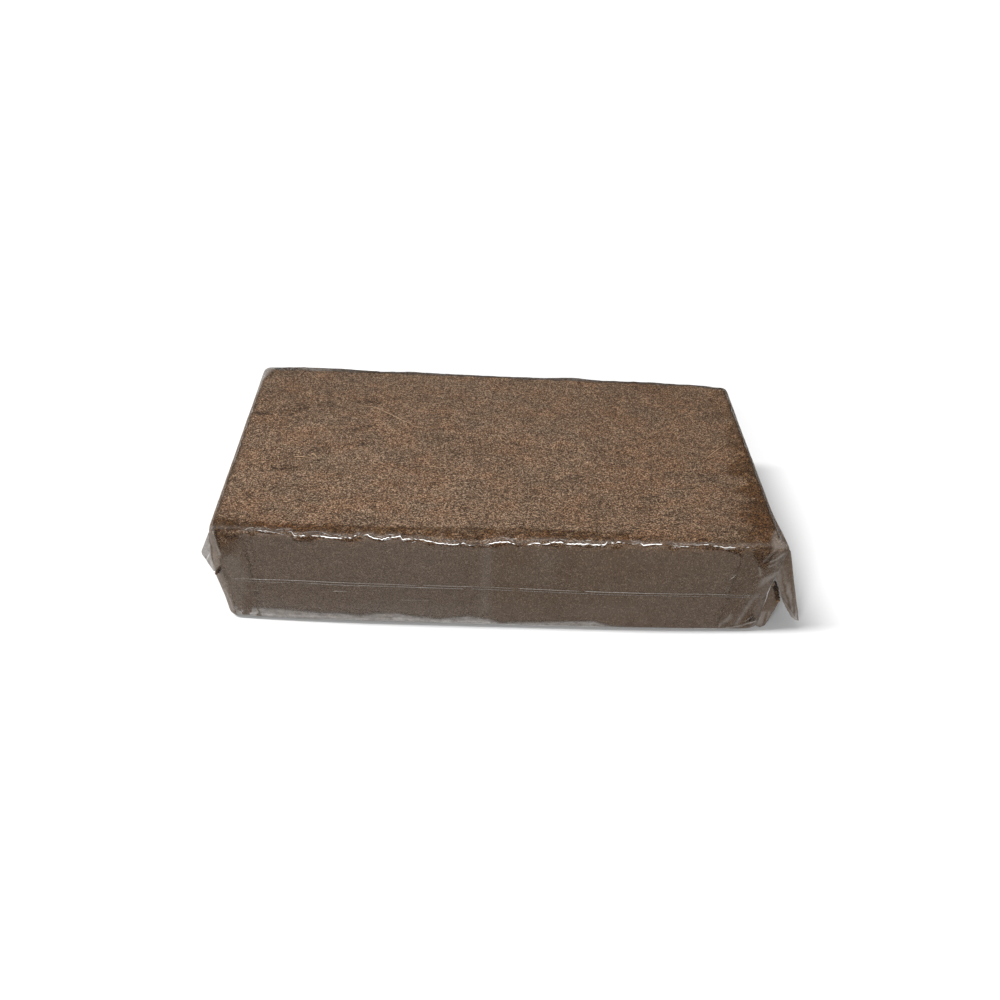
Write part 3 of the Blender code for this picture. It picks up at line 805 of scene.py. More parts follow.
# On the ears: (distance past the end, height)
# The lighter and darker bands of the right ear are partly dust and crumbs in the film, partly painted light
# and shade of the flap's facets.
RIGHT_EAR_MARKS = (
    (area, ((0.0, 35.3), (2.9, 36.3), (7.9, 22.1), (5.7, 21.0), (1.5, 28.0)), 2.4, (1.25, 0.70, 0.032)),
    (area, ((1.0, 42.5), (3.4, 40.5), (5.9, 32.0), (3.9, 32.4), (1.4, 38.5)), 1.2, (1.25, 1.0, 0.0)),
    (area, (
        (6.0, 26.0), (9.6, 25.0), (13.5, 15.0), (18.2, 3.8), (16.0, 4.2), (8.6, 15.0),
    ), 3.0, (1.25, 0.75, 0.065)),
    (area, ((12.5, 12.0), (15.0, 12.0), (18.2, 3.8), (16.0, 4.2)), 3.0, (1.25, 0.65, 0.17)),
    (stroke, ((3.6, 39.0), (7.4, 29.0), (11.6, 17.6), (15.0, 8.8)), 0.5, (1.25, 1.0, 0.0)),
    (stroke, ((2.4, 34.0), (5.4, 26.0), (9.0, 18.2), (12.6, 11.4)), 0.5, (1.25, 1.0, 0.0)),
    (stroke, ((0.3, 42.8), (0.5, 39.1), (0.9, 35.3), (1.7, 31.4)), 0.35, (1.25, 0.2, 0.08)),
    (stroke, (
        (2.9, 43.0), (5.9, 35.5), (8.8, 27.7), (13.4, 16.1), (16.2, 9.3), (18.2, 3.8),
    ), 0.4, (1.25, 0.7, 0.02)),
    (stroke, ((2.3, 27.6), (5.5, 21.0), (8.2, 15.6), (11.3, 10.8)), 0.4, (1.25, 0.5, 0.03)),
)
RIGHT_LOWER_EAR_MARKS = (
    (area, ((1.3, 27.4), (2.6, 24.0), (5.4, 15.8), (4.0, 14.0), (1.8, 20.0)), 1.6, (1.25, 1.0, 0.0)),
    (area, ((0.6, 10.0), (5.4, 10.0), (5.2, 1.4), (3.6, 0.5), (1.4, 1.5)), 2.0, (1.25, 0.75, 0.070)),
    (stroke, ((6.9, 15.0), (5.2, 1.4)), 0.4, (1.25, 0.8, 0.01)),
    (stroke, ((3.6, 19.0), (3.8, 10.0), (4.4, 2.0)), 0.5, (1.25, 1.0, 0.0)),
)
# The pale strokes of the left ear paint highlights along its creases.
LEFT_EAR_MARKS = (
    (stroke, ((3.9, 29.2), (1.9, 32.6)), 0.2, (0.95, 0.0, 0.40)),
    (stroke, ((2.5, 29.2), (2.3, 24.3)), 0.4, (0.95, 0.0, 0.16)),
    (area, (
        (0.5, 43.4), (1.6, 40.0), (1.9, 31.0), (1.4, 24.0), (0.4, 22.0), (-0.5, 43.0),
    ), 0.5, (0.97, 0.75, 0.0)),
    (stroke, ((0.9, 43.0), (1.6, 36.0), (2.0, 31.0), (1.6, 24.0)), 0.2, (0.95, 0.2, 0.10)),
)
CORNER_FADE = 1.2
BODY_FADE_INSET = 1.6  # how much nearer the corner the body's own haze fades, in millimetres
RIGHT_CORNER_FROM = 84.5
LEFT_CORNER_FROM = -87.5


def in_corners(spots, inset=0.0):
    """1 over the right and left ends of the front, where finer sheets take the place of the body's haze."""
    x = spots[:, 0] + 1.5 * layered(levelled(spots) * (0, 1, 1), 8.0, 3, seed=91)
    right, left = x - RIGHT_CORNER_FROM - inset, LEFT_CORNER_FROM - inset - x
    return smooth(right / CORNER_FADE) + smooth(left / CORNER_FADE)


# The film along the front face: x in millimetres, haze, dust and paleness. It is lighter at the left and
# darker at the right: painted shade of the light from the left.
FRONT_TONE = (
    (-99, 0.70, 0.94, 0.018), (-60, 0.60, 0.93, 0.021), (-25, 0.74, 0.91, 0.016), (-8, 0.77, 0.92, 0.008),
    (2, 0.88, 0.99, 0.0), (25, 0.92, 1.0, 0.0), (50, 0.94, 1.0, 0.0), (75, 0.88, 0.98, 0.004),
    (99, 0.87, 0.98, 0.005),
)
# Where the strip of bare coir below the crease is deeper, in millimetres: by how much, at which x, and half
# how wide
STRIP_DIPS = ((2.0, 84.5, 4.5), (1.1, 72.0, 4.0))
STREAK_X = -4.8
STREAK_HALF_WIDTH = 1.9


def hump(value, middle, half_width):
    """1 at the middle, falling off smoothly on both sides."""
    return np.exp(-(((value - middle) / half_width) ** 2))


def bare_strip(middle, x, above):
    """1 in the strip just below the crease where the film lies close and shows the coir."""
    depth = 0.7 + 1.5 * smooth(noise(middle * (1, 0, 0), 5 * MM, seed=33)) + 1.2 * smooth((-84 - x) / 8)
    for deeper, place, half_width in STRIP_DIPS:
        depth += deeper * hump(x, place, half_width)
    return band(above, -depth * MM, -0.05 * MM, 0.4 * MM)


def skin_finish(flat, middle, out):
    """The haze (0 clear to 1 solid), dust (0 grey to 1 brown) and paleness of each point of the body."""
    ends = out[:, 0] ** 2
    behind = np.clip(out[:, 1], 0, 1) ** 2
    under = np.clip(-out[:, 2], 0, 1) ** 2
    patch = layered(middle, (16 * MM, 9 * MM, 9 * MM), 3, seed=21)
    wavy = noise(middle, (5 * MM, 40 * MM, 40 * MM), seed=31)
    up = up_the_fold(flat, out) - fold_line(middle[:, 0])
    from_right = SKIN_HALF[0] - flat[:, 0]
    height = (flat[:, 2] + SKIN_HALF[2]) / MM
    x = middle[:, 0] / MM

    haze_top = 0.13 + 0.05 * patch + 0.06 * smooth(middle[:, 1] / (40 * MM))
    touching = smooth(1.5 - (up + wavy * 1.2 * MM) / (4.5 * MM))
    touching = np.maximum(touching, 0.8 * smooth(1.4 - (from_right + 2 * MM * patch) / (9 * MM)))
    above_crease = band(up + wavy * 0.6 * MM, 0.15 * MM, 1.7 * MM, 0.8 * MM)
    haze_top = haze_top * (1 - 0.85 * touching) + 0.27 * above_crease

    # Painted shade: the front lighter at the left and darker at the right.
    haze_front, dust_front, pale_front = read_off(FRONT_TONE, x)
    corners = in_corners(np.stack([x, height], axis=1), BODY_FADE_INSET)
    haze_front += 0.05 * patch
    haze_front *= (1 - 0.97 * bare_strip(middle, x, up + wavy * 0.35 * MM)) * (1 - 0.88 * corners)
    streak = hump(x, STREAK_X, STREAK_HALF_WIDTH) * smooth((height - 5) / 10) * (0.8 + 0.5 * patch)
    low_rough = smooth(1 - height / 9) * smooth(0.6 - x / 110) * (0.5 + 0.5 * patch)
    haze_front += 0.06 * streak - 0.15 * low_rough
    pale_front += 0.016 * patch + 0.020 * smooth((16 - height) / 8) * smooth(0.5 - x / 100)

    on_front = smooth(0.5 - up / (0.4 * MM))
    near_top = smooth(1 - (SKIN_HALF[2] - flat[:, 2]) / (5 * MM))
    near_front = smooth(1 - (flat[:, 1] + SKIN_HALF[1]) / (18 * MM))
    haze_ends = 0.66 + 0.15 * patch + 0.25 * near_front
    haze = haze_front * on_front + haze_top * (1 - on_front)
    haze = haze * (1 - behind) + (0.62 + 0.08 * patch) * behind
    haze = haze * (1 - ends) + haze_ends * ends
    haze += (0.97 - haze) * np.clip(1.6 * (ends + behind) * near_top, 0, 1)
    haze = haze * (1 - under) + 0.5 * under
    dust = dust_front + 0.22 * patch - 0.25 * streak * on_front - 0.3 * above_crease
    dust += (0.3 * near_top + 0.12 * (1 - near_top)) * ends + 0.3 * behind
    pale = (0.004 * streak + pale_front) * on_front + 0.03 * above_crease

    spots = (middle + end_out(middle))[:, :2] / MM
    on_top = smooth(out[:, 2] / 0.5 - 0.3)
    haze, dust, pale = lay_marks((haze, dust, pale), spots, TOP_MARKS, 401, on_top)
    return np.clip(haze, 0.02, 0.98), np.clip(dust, 0, 1), np.clip(pale, 0, 1)


def sheet_grid(rows, columns, place):
    """A sheet of quads over two shares from 0 to 1, each point's place from a function of both."""
    down, across = np.meshgrid(np.linspace(0, 1, rows + 1), np.linspace(0, 1, columns + 1), indexing="ij")
    points = place(down.reshape(-1), across.reshape(-1))
    return points, grid_quads(np.arange(down.size).reshape(down.shape))


def fin_sheet(side, tip_front, tip_back):
    """The crimped end of the film tube, hanging from mid-height of one end wall."""
    half_width = FILM_HALF[1] - 1.2 * MM

    def place(down, across):
        y = -half_width + 2 * half_width * across
        wall = stacked(side * FILM_HALF[0], y, FIN_ROOT_HEIGHT * MM - FILM_HALF[2])
        root_out = np.maximum(0, np.abs(end_out(wall)[:, 0]) / MM - FIN_ROOT_INSET)
        ease = smooth(across * 1.6)
        tip_out, tip_height = [front + (back - front) * ease for front, back in zip(tip_front, tip_back)]
        wave = FIN_WAVE * np.sin(across * 23.0 + side) * smooth(across * 3)
        points = stacked(
            side * (FILM_HALF[0] + (root_out + (tip_out - root_out) * down + wave * down) * MM),
            y,
            (FIN_ROOT_HEIGHT + (tip_height - FIN_ROOT_HEIGHT) * down**1.2) * MM,
        )
        points[:, 0] += side * 0.35 * MM * down * layered(points, (5 * MM, 3 * MM, 4 * MM), 3, seed=50 + side)
        return points

    points, quads = sheet_grid(12, 70, place)
    haze = 0.72 + 0.12 * layered(points, 4 * MM, 3, seed=55)
    dust = 0.55 + 0.3 * noise(points, 8 * MM, seed=56)
    pale = 0.12 * np.clip(layered(points, (3 * MM, 2 * MM, 9 * MM), 2, seed=57), 0, 1)
    return points, quads, haze, dust, pale


EAR_EDGE_STEPS = 12
EAR_RINGS = 22


def fan_sheet(outline):
    """A flat sheet filling an outline, as rings of quads drawn in to its middle."""
    corners = np.array(outline, float)
    steps = np.arange(EAR_EDGE_STEPS)[:, None]
    sides = zip(corners, np.roll(corners, -1, axis=0))
    edge = np.concatenate([start + (end - start) * steps / EAR_EDGE_STEPS for start, end in sides])
    middle = edge.mean(axis=0)
    shrink = np.linspace(1, 0.04, EAR_RINGS)
    flat = np.concatenate([*[middle + (edge - middle) * share for share in shrink], middle[None]])
    count = len(edge)
    last = (EAR_RINGS - 1) * count
    pairs = [(i, (i + 1) % count) for i in range(count)]
    faces = []
    for ring in range(0, last, count):
        faces += [(ring + i, ring + j, ring + count + j, ring + count + i) for i, j in pairs]
    faces += [(last + i, last + j, last + count) for i, j in pairs]
    return flat, faces


def ear_sheet(side, outline, setback, lean, seed, ground, marks):
    """A flat triangle of doubled film at the front corner of an end, in line with the front face."""
    flat, faces = fan_sheet(outline)
    spots = levelled(flat)
    wave = 0.5 * layered(spots, (5, 9, 5), 3, seed=seed)
    wave += 0.06 * layered(spots, (1.2, 2.2, 2), 2, seed=seed + 3)
    y = -FILM_HALF[1] + setback + (wave + lean * flat[:, 0]) * MM
    points = stacked(side * (FILM_HALF[0] + flat[:, 0] * MM), y, flat[:, 1] * MM)
    mottle = layered(points, (1.5 * MM, 3 * MM, 4 * MM), 3, seed=seed + 5)
    return points, faces, *mottled(*lay_marks(ground, flat, marks, seed + 7), mottle, 1.25, 0.25)


def front_sheet(low, high, step, ground, marks, seed, fade=None):
    """A finer sheet of film over part of the front face, from one (x, height) to another in millimetres."""
    def place(down, across):
        x = (low[0] + (high[0] - low[0]) * across) * MM
        z = (low[1] + (high[1] - low[1]) * down) * MM - FILM_HALF[2]
        flat = stacked(x, -SKIN_HALF[1], z)
        creases = layered(flat, (2.2 * MM, 2 * MM, 4 * MM), 3, seed=seed + 11)
        return skin_surface(flat, (0.14 + 0.09 * creases) * MM)[0]

    rows, columns = round((high[1] - low[1]) / step), round((high[0] - low[0]) / step)
    points, quads = sheet_grid(rows, columns, place)
    spots = points[:, (0, 2)] / MM
    haze, dust, pale = lay_marks(ground, spots, marks, seed)
    mottle = layered(points, 1.4 * MM, 3, seed=seed + 5)
    haze *= (1 + 0.15 * mottle) * (fade(spots) if fade else 1)
    return points, quads[:, ::-1], *mottled(haze, dust, pale, mottle, 0.99, 0.2)


def evenly(path, step, fewest):
    """Points along a path, about a step apart."""
    path = np.asarray(path, float)
    lengths = np.concatenate([[0], np.cumsum(np.linalg.norm(np.diff(path, axis=0), axis=1))])
    at = np.linspace(0, lengths[-1], max(fewest, int(lengths[-1] / step)))
    return np.stack([np.interp(at, lengths, column) for column in path.T], axis=1)


RIDGE_SIDES = 4


def ridge(path, width, haze, pale=0.5, seed=0, broken=0.0, dust=0.0):
    """A thin crease or welded line standing a little proud of the film, as a slim tube along a path."""
    line = evenly(path, 0.8 * MM, 4)
    line += 0.08 * MM * np.stack([noise(line, 5 * MM, seed=seed + k) for k in range(3)], axis=1)
    ahead = np.gradient(line, axis=0)
    ahead /= np.linalg.norm(ahead, axis=1)[:, None]
    side = np.cross(ahead, (0.0, -0.7, 0.7))
    side /= np.linalg.norm(side, axis=1)[:, None]
    up = np.cross(side, ahead)
    lasting = np.clip(0.75 + noise(line, 7 * MM, seed=seed + 9) - broken, 0.05, 1)
    lasting[0] = lasting[-1] = 0.05
    angles = 2 * math.pi * np.arange(RIDGE_SIDES) / RIDGE_SIDES
    half = (width / 2 * lasting)[:, None]
    rings = [line + (side * math.cos(angle) + up * math.sin(angle)) * half for angle in angles]
    points = np.stack(rings, axis=1).reshape(-1, 3)
    index = np.arange(len(points)).reshape(-1, RIDGE_SIDES)
    quads = grid_quads(np.concatenate([index, index[:, :1]], axis=1))[:, (0, 3, 2, 1)]
    shown = np.repeat(haze * (0.35 + 0.65 * lasting), RIDGE_SIDES)
    return points, quads, shown, np.full(len(points), dust), np.full(len(points), pale)


def front_path(places):
    """Points of the film's front face along a line, from x and height in millimetres."""
    x, z = evenly(places, 0.7, 2).T * MM
    return skin_surface(stacked(x, -SKIN_HALF[1], z - FILM_HALF[2]), 0.12 * MM)[0]


SEAM = ((-96.2, 22.6), (-74.9, 23.9), (-39.7, 24.0), (-4.2, 24.0), (37.8, 23.0), (75.6, 22.7), (99.2, 21.3))
SEAM_GAP = 1.2
LOW_LINE = (
    (-96.4, 2.5), (-90.6, 1.9), (-66.0, 1.7), (-51.0, 2.2), (-35.0, 2.3), (-18.8, 1.8), (-8.0, 2.0),
    (1.9, 0.8), (10.6, 1.6), (24.9, 1.3), (38.0, 1.6), (47.0, 0.5), (60.0, 0.6), (80.0, 0.9), (91.6, 1.2),
)
UPPER_LOW_LINE = [(x, height + 1.0) for x, height in LOW_LINE[:11]]
# A painted highlight along the crease down the right front corner.
RIGHT_CREASE = (
    (102.2, 0.6), (103.4, 5.0), (102.6, 8.4), (101.2, 15.3), (100.6, 20.5), (100.8, 25.9), (100.6, 29.4),
)
# A painted highlight along the right end of the front top fold.
FOLD_END = ((87.7, 45.2), (89.9, 46.3), (92.7, 46.6), (94.5, 46.3), (96.6, 46.6), (99.8, 46.4))
SCRATCHES = (((-35.6, 15.3), (-24.7, 15.8)), ((-93.6, 16.4), (-86.2, 17.3)), ((-60.0, 19.0), (-54.0, 19.3)))
# A painted highlight on the top left front corner.
CORNER_SPARK = ((-99.2, 47.6), (-98.0, 46.2), (-97.4, 45.6))


def seam_strokes():
    """The welded lap seam: two close lines of long, thin, overlapping strokes."""
    random = np.random.default_rng(101)
    xs, zs = np.array(SEAM).T
    made = []
    for row in range(2):
        x = xs[0] + 2 * row
        while x < xs[-1] - 3:
            length = min(random.uniform(7, 26), xs[-1] - x)
            tilt = random.uniform(0.05, 0.22)
            along = np.linspace(0, 1, 12)
            z = np.interp(x + along * length, xs, zs) - SEAM_GAP * row + tilt * (0.5 - along)
            shine, width = random.uniform(0.35, 0.62), random.uniform(0.2, 0.3) * MM
            path, seed = front_path(stacked(x + along * length, z)), int(103 + 10 * x + row)
            made.append(ridge(path, width, shine, 0.26 * shine, seed, broken=-0.4, dust=0.3))
            x += length + random.uniform(-4, 2.5)
    return made


# Crinkles of the film: seed, how many, the face, from where to where across and up it in millimetres, the
# angle from level that they lie at in degrees and how much it varies in radians, and the greatest length
CRINKLES = (
    (1001, 34, FRONT, (-98, -90), (8, 34), 65, 0.45, 3.5 * MM),
    (2001, 26, FRONT, (84, 99), (2, 34), 65, 0.45, 6 * MM),
    (3001, 60, RIGHT, (-44.91, 44.91), (3.5, 41.45), 90, 0.6, 14 * MM),
    (4001, 60, LEFT, (-44.91, 44.91), (3.5, 41.45), 90, 0.6, 14 * MM),
    (5001, 50, BACK, (-94.905, 94.905), (4.65, 42.6), 0, 0.5, 16 * MM),
)


def crinkles(seed, count, face, across, heights, lie, vary, longest):
    """Short creases of crinkled film on one of its faces."""
    random = np.random.default_rng(seed)
    axis, side = face
    u = other_axes(face)[0]
    steps = np.linspace(-0.5, 0.5, 5)[:, None]
    made = []
    for i in range(count):
        flat, ahead = np.zeros(3), np.zeros(3)
        flat[axis] = side * SKIN_HALF[axis]
        flat[u], flat[2] = random.uniform(*across) * MM, random.uniform(*heights) * MM - FILM_HALF[2]
        turn = random.normal(math.radians(lie), vary)
        ahead[u], ahead[2] = math.cos(turn), math.sin(turn)
        length = random.uniform(0.35, 1.0) * longest
        bend = np.cross(ahead, random.normal(size=3)) * 0.15
        path = np.clip(flat + (ahead * steps + bend * steps**2) * length, -SKIN_HALF, SKIN_HALF)
        haze, pale, width = [random.uniform(*limits) for limits in ((0.25, 0.6), (0.05, 0.35), (0.12, 0.3))]
        made.append(ridge(skin_surface(path, 0.03 * MM)[0], width * MM, haze, pale, seed=seed + i))
    return made


def fold_places(x, up, proud):
    """Points on the film's front top fold: x, how far up from its middle, and how far out they stand."""
    radius = FILM_TOP_RADIUS - SKIN_INSET
    angle = np.clip(math.pi / 4 + up / radius, 0.05, math.pi / 2)
    out = stacked(0.0, -np.cos(angle), np.sin(angle))
    centre = stacked(x, -SKIN_HALF[1] + radius, SKIN_HALF[2] - radius)
    past = np.clip(up - radius * math.pi / 4, 0, None)
    return bulge(centre + out * radius + stacked(0.0, past, 0.0)) + out * proud * MM + (0, 0, FILM_HALF[2])


def glint(x, up, half_width, shine):
    """A painted highlight of the crease: a thin pale lip along points, of a half width and a shine at each.
    """
    section = ((-1, 0.03), (0, 0.16), (1, 0.03))
    rows = [fold_places(x, up + side * half_width, proud) for side, proud in section]
    points = np.stack(rows, axis=1).reshape(-1, 3)
    quads = grid_quads(np.arange(len(points)).reshape(-1, 3))
    shine = np.repeat(shine, 3)
    return points, quads, np.clip(0.2 + 1.1 * shine, 0, 1), np.zeros(len(points)), np.clip(shine, 0, 1)


def glints():
    """The painted highlight along the front top fold, with short painted highlights of creases that branch
    off it.
    """
    random = np.random.default_rng(301)
    x = np.arange(-94, 94, 0.22) * MM
    spots = stacked(x, 0.0, 0.0)
    dull = np.max([band(x / MM, low, high, 1.5) for low, high in GLINT_GAPS], axis=0)
    shaken = 0.16 * noise(spots, 2.3 * MM, seed=303) + 0.14 * noise(spots, 0.7 * MM, seed=304)
    life = 0.42 + 0.5 * band(x / MM, -42, 92, 10) - 0.7 * dull
    life += 0.65 * noise(spots, 3.4 * MM, seed=305) + 0.6 * noise(spots, 0.8 * MM, seed=306)
    fade = 1 - 0.45 * band(x / MM, -99, -70, 4) - 0.4 * band(x / MM, 60, 99, 4)
    shine = np.clip(0.08 + 0.95 * life, 0.02, 0.95) * fade
    made = [glint(x, fold_line(x) + shaken * MM, np.clip(0.15 * life, 0.01, 0.14) * MM, shine)]
    for _ in range(GLINT_BRANCHES):
        start = random.uniform(-92, 90)
        along = np.arange(0, random.exponential(1.2) + 0.5, 0.2)
        spot = (start + along) * MM
        side = random.choice((-0.55, 0.55, 0.9, 1.3), p=(0.25, 0.3, 0.25, 0.2)) + random.normal(0, 0.12)
        up = fold_line(spot) + (side + random.normal(0, 0.35) * (along - along[-1] / 2)) * MM
        ends = np.sqrt(np.clip(1 - (2 * along / along[-1] - 1) ** 2, 0.02, 1))
        level = random.uniform(0.15, 0.45) * (0.4 if np.interp(start, x / MM, dull) > 0.5 else 1.0)
        made.append(glint(spot, up, 0.07 * ends * MM, np.full(len(along), level)))
    return made


def film_lines():
    """The welded and creased lines of the film, with the painted highlights of the glints and of some
    creases.
    """
    lines = [
        *glints(),
        *seam_strokes(),
        ridge(front_path(LOW_LINE), 0.3 * MM, 0.8, pale=0.4, seed=121, broken=0.1),
        ridge(front_path(UPPER_LOW_LINE), 0.22 * MM, 0.6, pale=0.25, seed=127, broken=0.45),
        ridge(front_path(RIGHT_CREASE), 0.4 * MM, 0.9, pale=0.42, seed=131),
        ridge(front_path(FOLD_END), 0.25 * MM, 0.7, pale=0.3, seed=137, broken=0.1),
        ridge(front_path(CORNER_SPARK), 0.35 * MM, 0.6, pale=0.25, seed=143),
    ]
    for i, places in enumerate(SCRATCHES):
        lines.append(ridge(front_path(places), 0.2 * MM, 0.5, pale=0.25, seed=191 + 7 * i, broken=0.1))
    for crinkled in CRINKLES:
        lines += crinkles(*crinkled)
    return lines


def film_skin(material):
    return joined_piece("film_skin", [
        film_skin_body(),
        fin_sheet(1, RIGHT_FIN_TIP_FRONT, RIGHT_FIN_TIP_BACK),
        fin_sheet(-1, LEFT_FIN_TIP_FRONT, LEFT_FIN_TIP_BACK),
    ], material, FILM_FIELDS)


def film_folds(material):
    return joined_piece("film_folds", [
        ear_sheet(1, RIGHT_EAR, EAR_SETBACK, 0.05, 61, (1.25, 0.97, 0.0), RIGHT_EAR_MARKS),
        ear_sheet(1, RIGHT_LOWER_EAR, LOWER_EAR_SETBACK, 0.1, 67, (1.25, 0.97, 0.0), RIGHT_LOWER_EAR_MARKS),
        ear_sheet(-1, LEFT_EAR, EAR_SETBACK, 0.1, 71, (0.88, 0.05, 0.06), LEFT_EAR_MARKS),
        front_sheet((82.5, 0.2), (103.5, 46.0), 0.35, (0.82, 1.0, 0.0), RIGHT_FRONT_MARKS, 501, in_corners),
        front_sheet((-103.5, 0.2), (-85.5, 46.0), 0.35, (0.72, 0.85, 0.0), LEFT_FRONT_MARKS, 521, in_corners),
        front_sheet((-97.0, 0.2), (60.0, 9.0), 0.4, (0.0, 0.1, 0.03), HEM_MARKS, 541),
        *film_lines(),
    ], material, FILM_FIELDS)


# Materials


class Nodes:
    """Short ways to add and join the nodes of one material."""

    def __init__(self, name):
        self.material = bpy.data.materials.new(name)
        self.material.use_nodes = True
        self.tree = self.material.node_tree
        self.shader = self.tree.nodes["Principled BSDF"]

    def add(self, kind, inputs=None, **settings):
        node = self.tree.nodes.new(kind)
        for key, value in settings.items():
            setattr(node, key, value)
        for key, value in (inputs or {}).items():
            self.set(node.inputs[key], value)
        return node

    def set(self, socket, value):
        if isinstance(value, bpy.types.NodeSocket):
            self.tree.links.new(value, socket)
        else:
            socket.default_value = value

    def place(self, scale):
        """Object coordinates, scaled."""
        coordinates = self.add("ShaderNodeTexCoord")
        mapping = self.add("ShaderNodeMapping", {"Vector": coordinates.outputs["Object"], "Scale": scale})
        return mapping.outputs["Vector"]

    def noise(self, scale, detail=4.0, stretch=(1, 1, 1), distortion=0.0):
        return self.add("ShaderNodeTexNoise", {
            "Vector": self.place(stretch), "Scale": scale, "Detail": detail, "Roughness": 0.6,
            "Distortion": distortion,
        }).outputs["Fac"]

    def math(self, operation, *values, clamp=False):
        node = self.add("ShaderNodeMath", operation=operation, use_clamp=clamp)
        for socket, value in zip(node.inputs, values):
            self.set(socket, value)
        return node.outputs[0]

    def ramp(self, value, stops):
        node = self.add("ShaderNodeValToRGB", {"Fac": value})
        ramp = node.color_ramp
        while len(ramp.elements) < len(stops):
            ramp.elements.new(0.5)
        for element, (position, colour) in zip(ramp.elements, stops):
            element.position = position
            element.color = (*colour, 1.0)
        return node.outputs["Color"]

    def mix(self, share, first, second, blend="MIX"):
        node = self.add("ShaderNodeMix", data_type="RGBA", blend_type=blend)
        self.set(node.inputs[0], share)
        self.set(node.inputs[6], first)
        self.set(node.inputs[7], second)
        return node.outputs[2]

    def spread(self, value, low, high):
        """value, from low to high, spread over 0 to 1."""
        node = self.add("ShaderNodeMapRange", {"Value": value, "From Min": low, "From Max": high})
        return node.outputs["Result"]

    def sharpen(self, value, gain):
        """value with its contrast raised about 0.5."""
        return self.spread(value, 0.5 - 0.5 / gain, 0.5 + 0.5 / gain)

    def total(self, *weighted, plus=0.0):
        """The sum of values, each times its weight, plus a number."""
        for value, weight in weighted:
            plus = self.math("ADD", plus, self.math("MULTIPLY", value, weight))
        return plus

    def tinted(self, colour, share, tint):
        """colour, times a tint where share is 1."""
        return self.mix(share, colour, tint, blend="MULTIPLY")

    def cells(self, scale, stretch=(1.0, 0.66, 0.74)):
        """A number from 0 to 1, the same all over each small grain."""
        found = self.add("ShaderNodeTexVoronoi", {"Vector": self.place(stretch), "Scale": scale})
        return self.add("ShaderNodeSeparateColor", {"Color": found.outputs["Color"]}).outputs["Red"]

    def attribute(self, name):
        return self.add("ShaderNodeAttribute", attribute_name=name).outputs["Fac"]

    def surface(self, colour, roughness, specular):
        self.set(self.shader.inputs["Base Color"], colour)
        self.set(self.shader.inputs["Roughness"], roughness)
        self.shader.inputs["Specular IOR Level"].default_value = specular

    def bump(self, height, strength, distance):
        node = self.add("ShaderNodeBump", {"Height": height, "Strength": strength, "Distance": distance})
        self.set(self.shader.inputs["Normal"], node.outputs["Normal"])


DARK_PITH = (0.010, 0.006, 0.0035)
BROWN_PITH = (0.060, 0.0345, 0.0195)
ORANGE_PITH = (0.150, 0.0925, 0.058)
PALE_FIBRE = (0.42, 0.295, 0.20)
GOLDEN_FIBRE = (0.46, 0.31, 0.19)
# The tint for the darker, loose pith, which also carries the painted shade on the top.
DAMP_AND_SHADE_TINT = (0.42, 0.32, 0.205, 1.0)
RUSTY_TINT = (1.07, 0.98, 0.91, 1.0)
OLIVE_TINT = (0.84, 0.88, 0.90, 1.0)


def pith_material():
    nodes = Nodes("pressed coir pith")
    grain = nodes.cells(4300, stretch=(0.66, 0.85, 0.85))
    coarse = nodes.cells(1900)
    fine = nodes.sharpen(nodes.noise(1500, detail=2), 2.0)
    clumps = nodes.noise(330, stretch=(0.8, 1.1, 1.1), distortion=0.5)
    flakes = nodes.spread(nodes.noise(430, detail=3, stretch=(0.6, 1.3, 1.3), distortion=1.0), 0.62, 0.70)
    mixed = nodes.total((grain, 0.80), (fine, 0.08), (coarse, 0.07))
    # The tone paints shade into the pits of the brick; on fibres and grains it is their own tone.
    tone = nodes.attribute("tone")
    value = nodes.total((mixed, 1.0), (clumps, 0.22), (tone, 0.17), (flakes, -0.16), plus=-0.175)
    colour = nodes.ramp(value, (
        (0.06, DARK_PITH), (0.36, BROWN_PITH), (0.64, ORANGE_PITH), (0.96, PALE_FIBRE),
    ))
    hue = nodes.noise(110, stretch=(0.7, 1.3, 1.3))
    colour = nodes.tinted(colour, nodes.spread(hue, 0.52, 0.36), RUSTY_TINT)
    colour = nodes.tinted(colour, nodes.spread(hue, 0.54, 0.66), OLIVE_TINT)
    # Darker where the pith is loose and where shade is painted on the top.
    nodes.surface(nodes.tinted(colour, nodes.attribute("damp_and_shade"), DAMP_AND_SHADE_TINT), 0.92, 0.15)
    nodes.bump(mixed, 0.8, 0.0004)
    return nodes.material


def fibre_material():
    nodes = Nodes("coir fibre")
    grain = nodes.noise(1500, detail=2)
    colour = nodes.ramp(nodes.total((nodes.attribute("tone"), 1.0), (grain, 0.6), plus=-0.3), (
        (0.05, DARK_PITH), (0.42, BROWN_PITH), (0.72, ORANGE_PITH), (1.0, GOLDEN_FIBRE),
    ))
    nodes.surface(nodes.tinted(colour, nodes.attribute("damp_and_shade"), DAMP_AND_SHADE_TINT), 0.7, 0.25)
    nodes.bump(grain, 0.4, 0.0002)
    return nodes.material


GREY_FILM = (0.150, 0.131, 0.114, 1.0)
DUSTY_FILM = (0.075, 0.0490, 0.0315, 1.0)
# Whitish film, and the colour of the painted highlights on creases and on the front top fold.
PALE_FILM_AND_HIGHLIGHT = (0.93, 0.92, 0.91, 1.0)
DUST_SPECK = (0.27, 0.20, 0.145, 1.0)
FILM_SHADE = (0.45, 0.42, 0.40, 1.0)


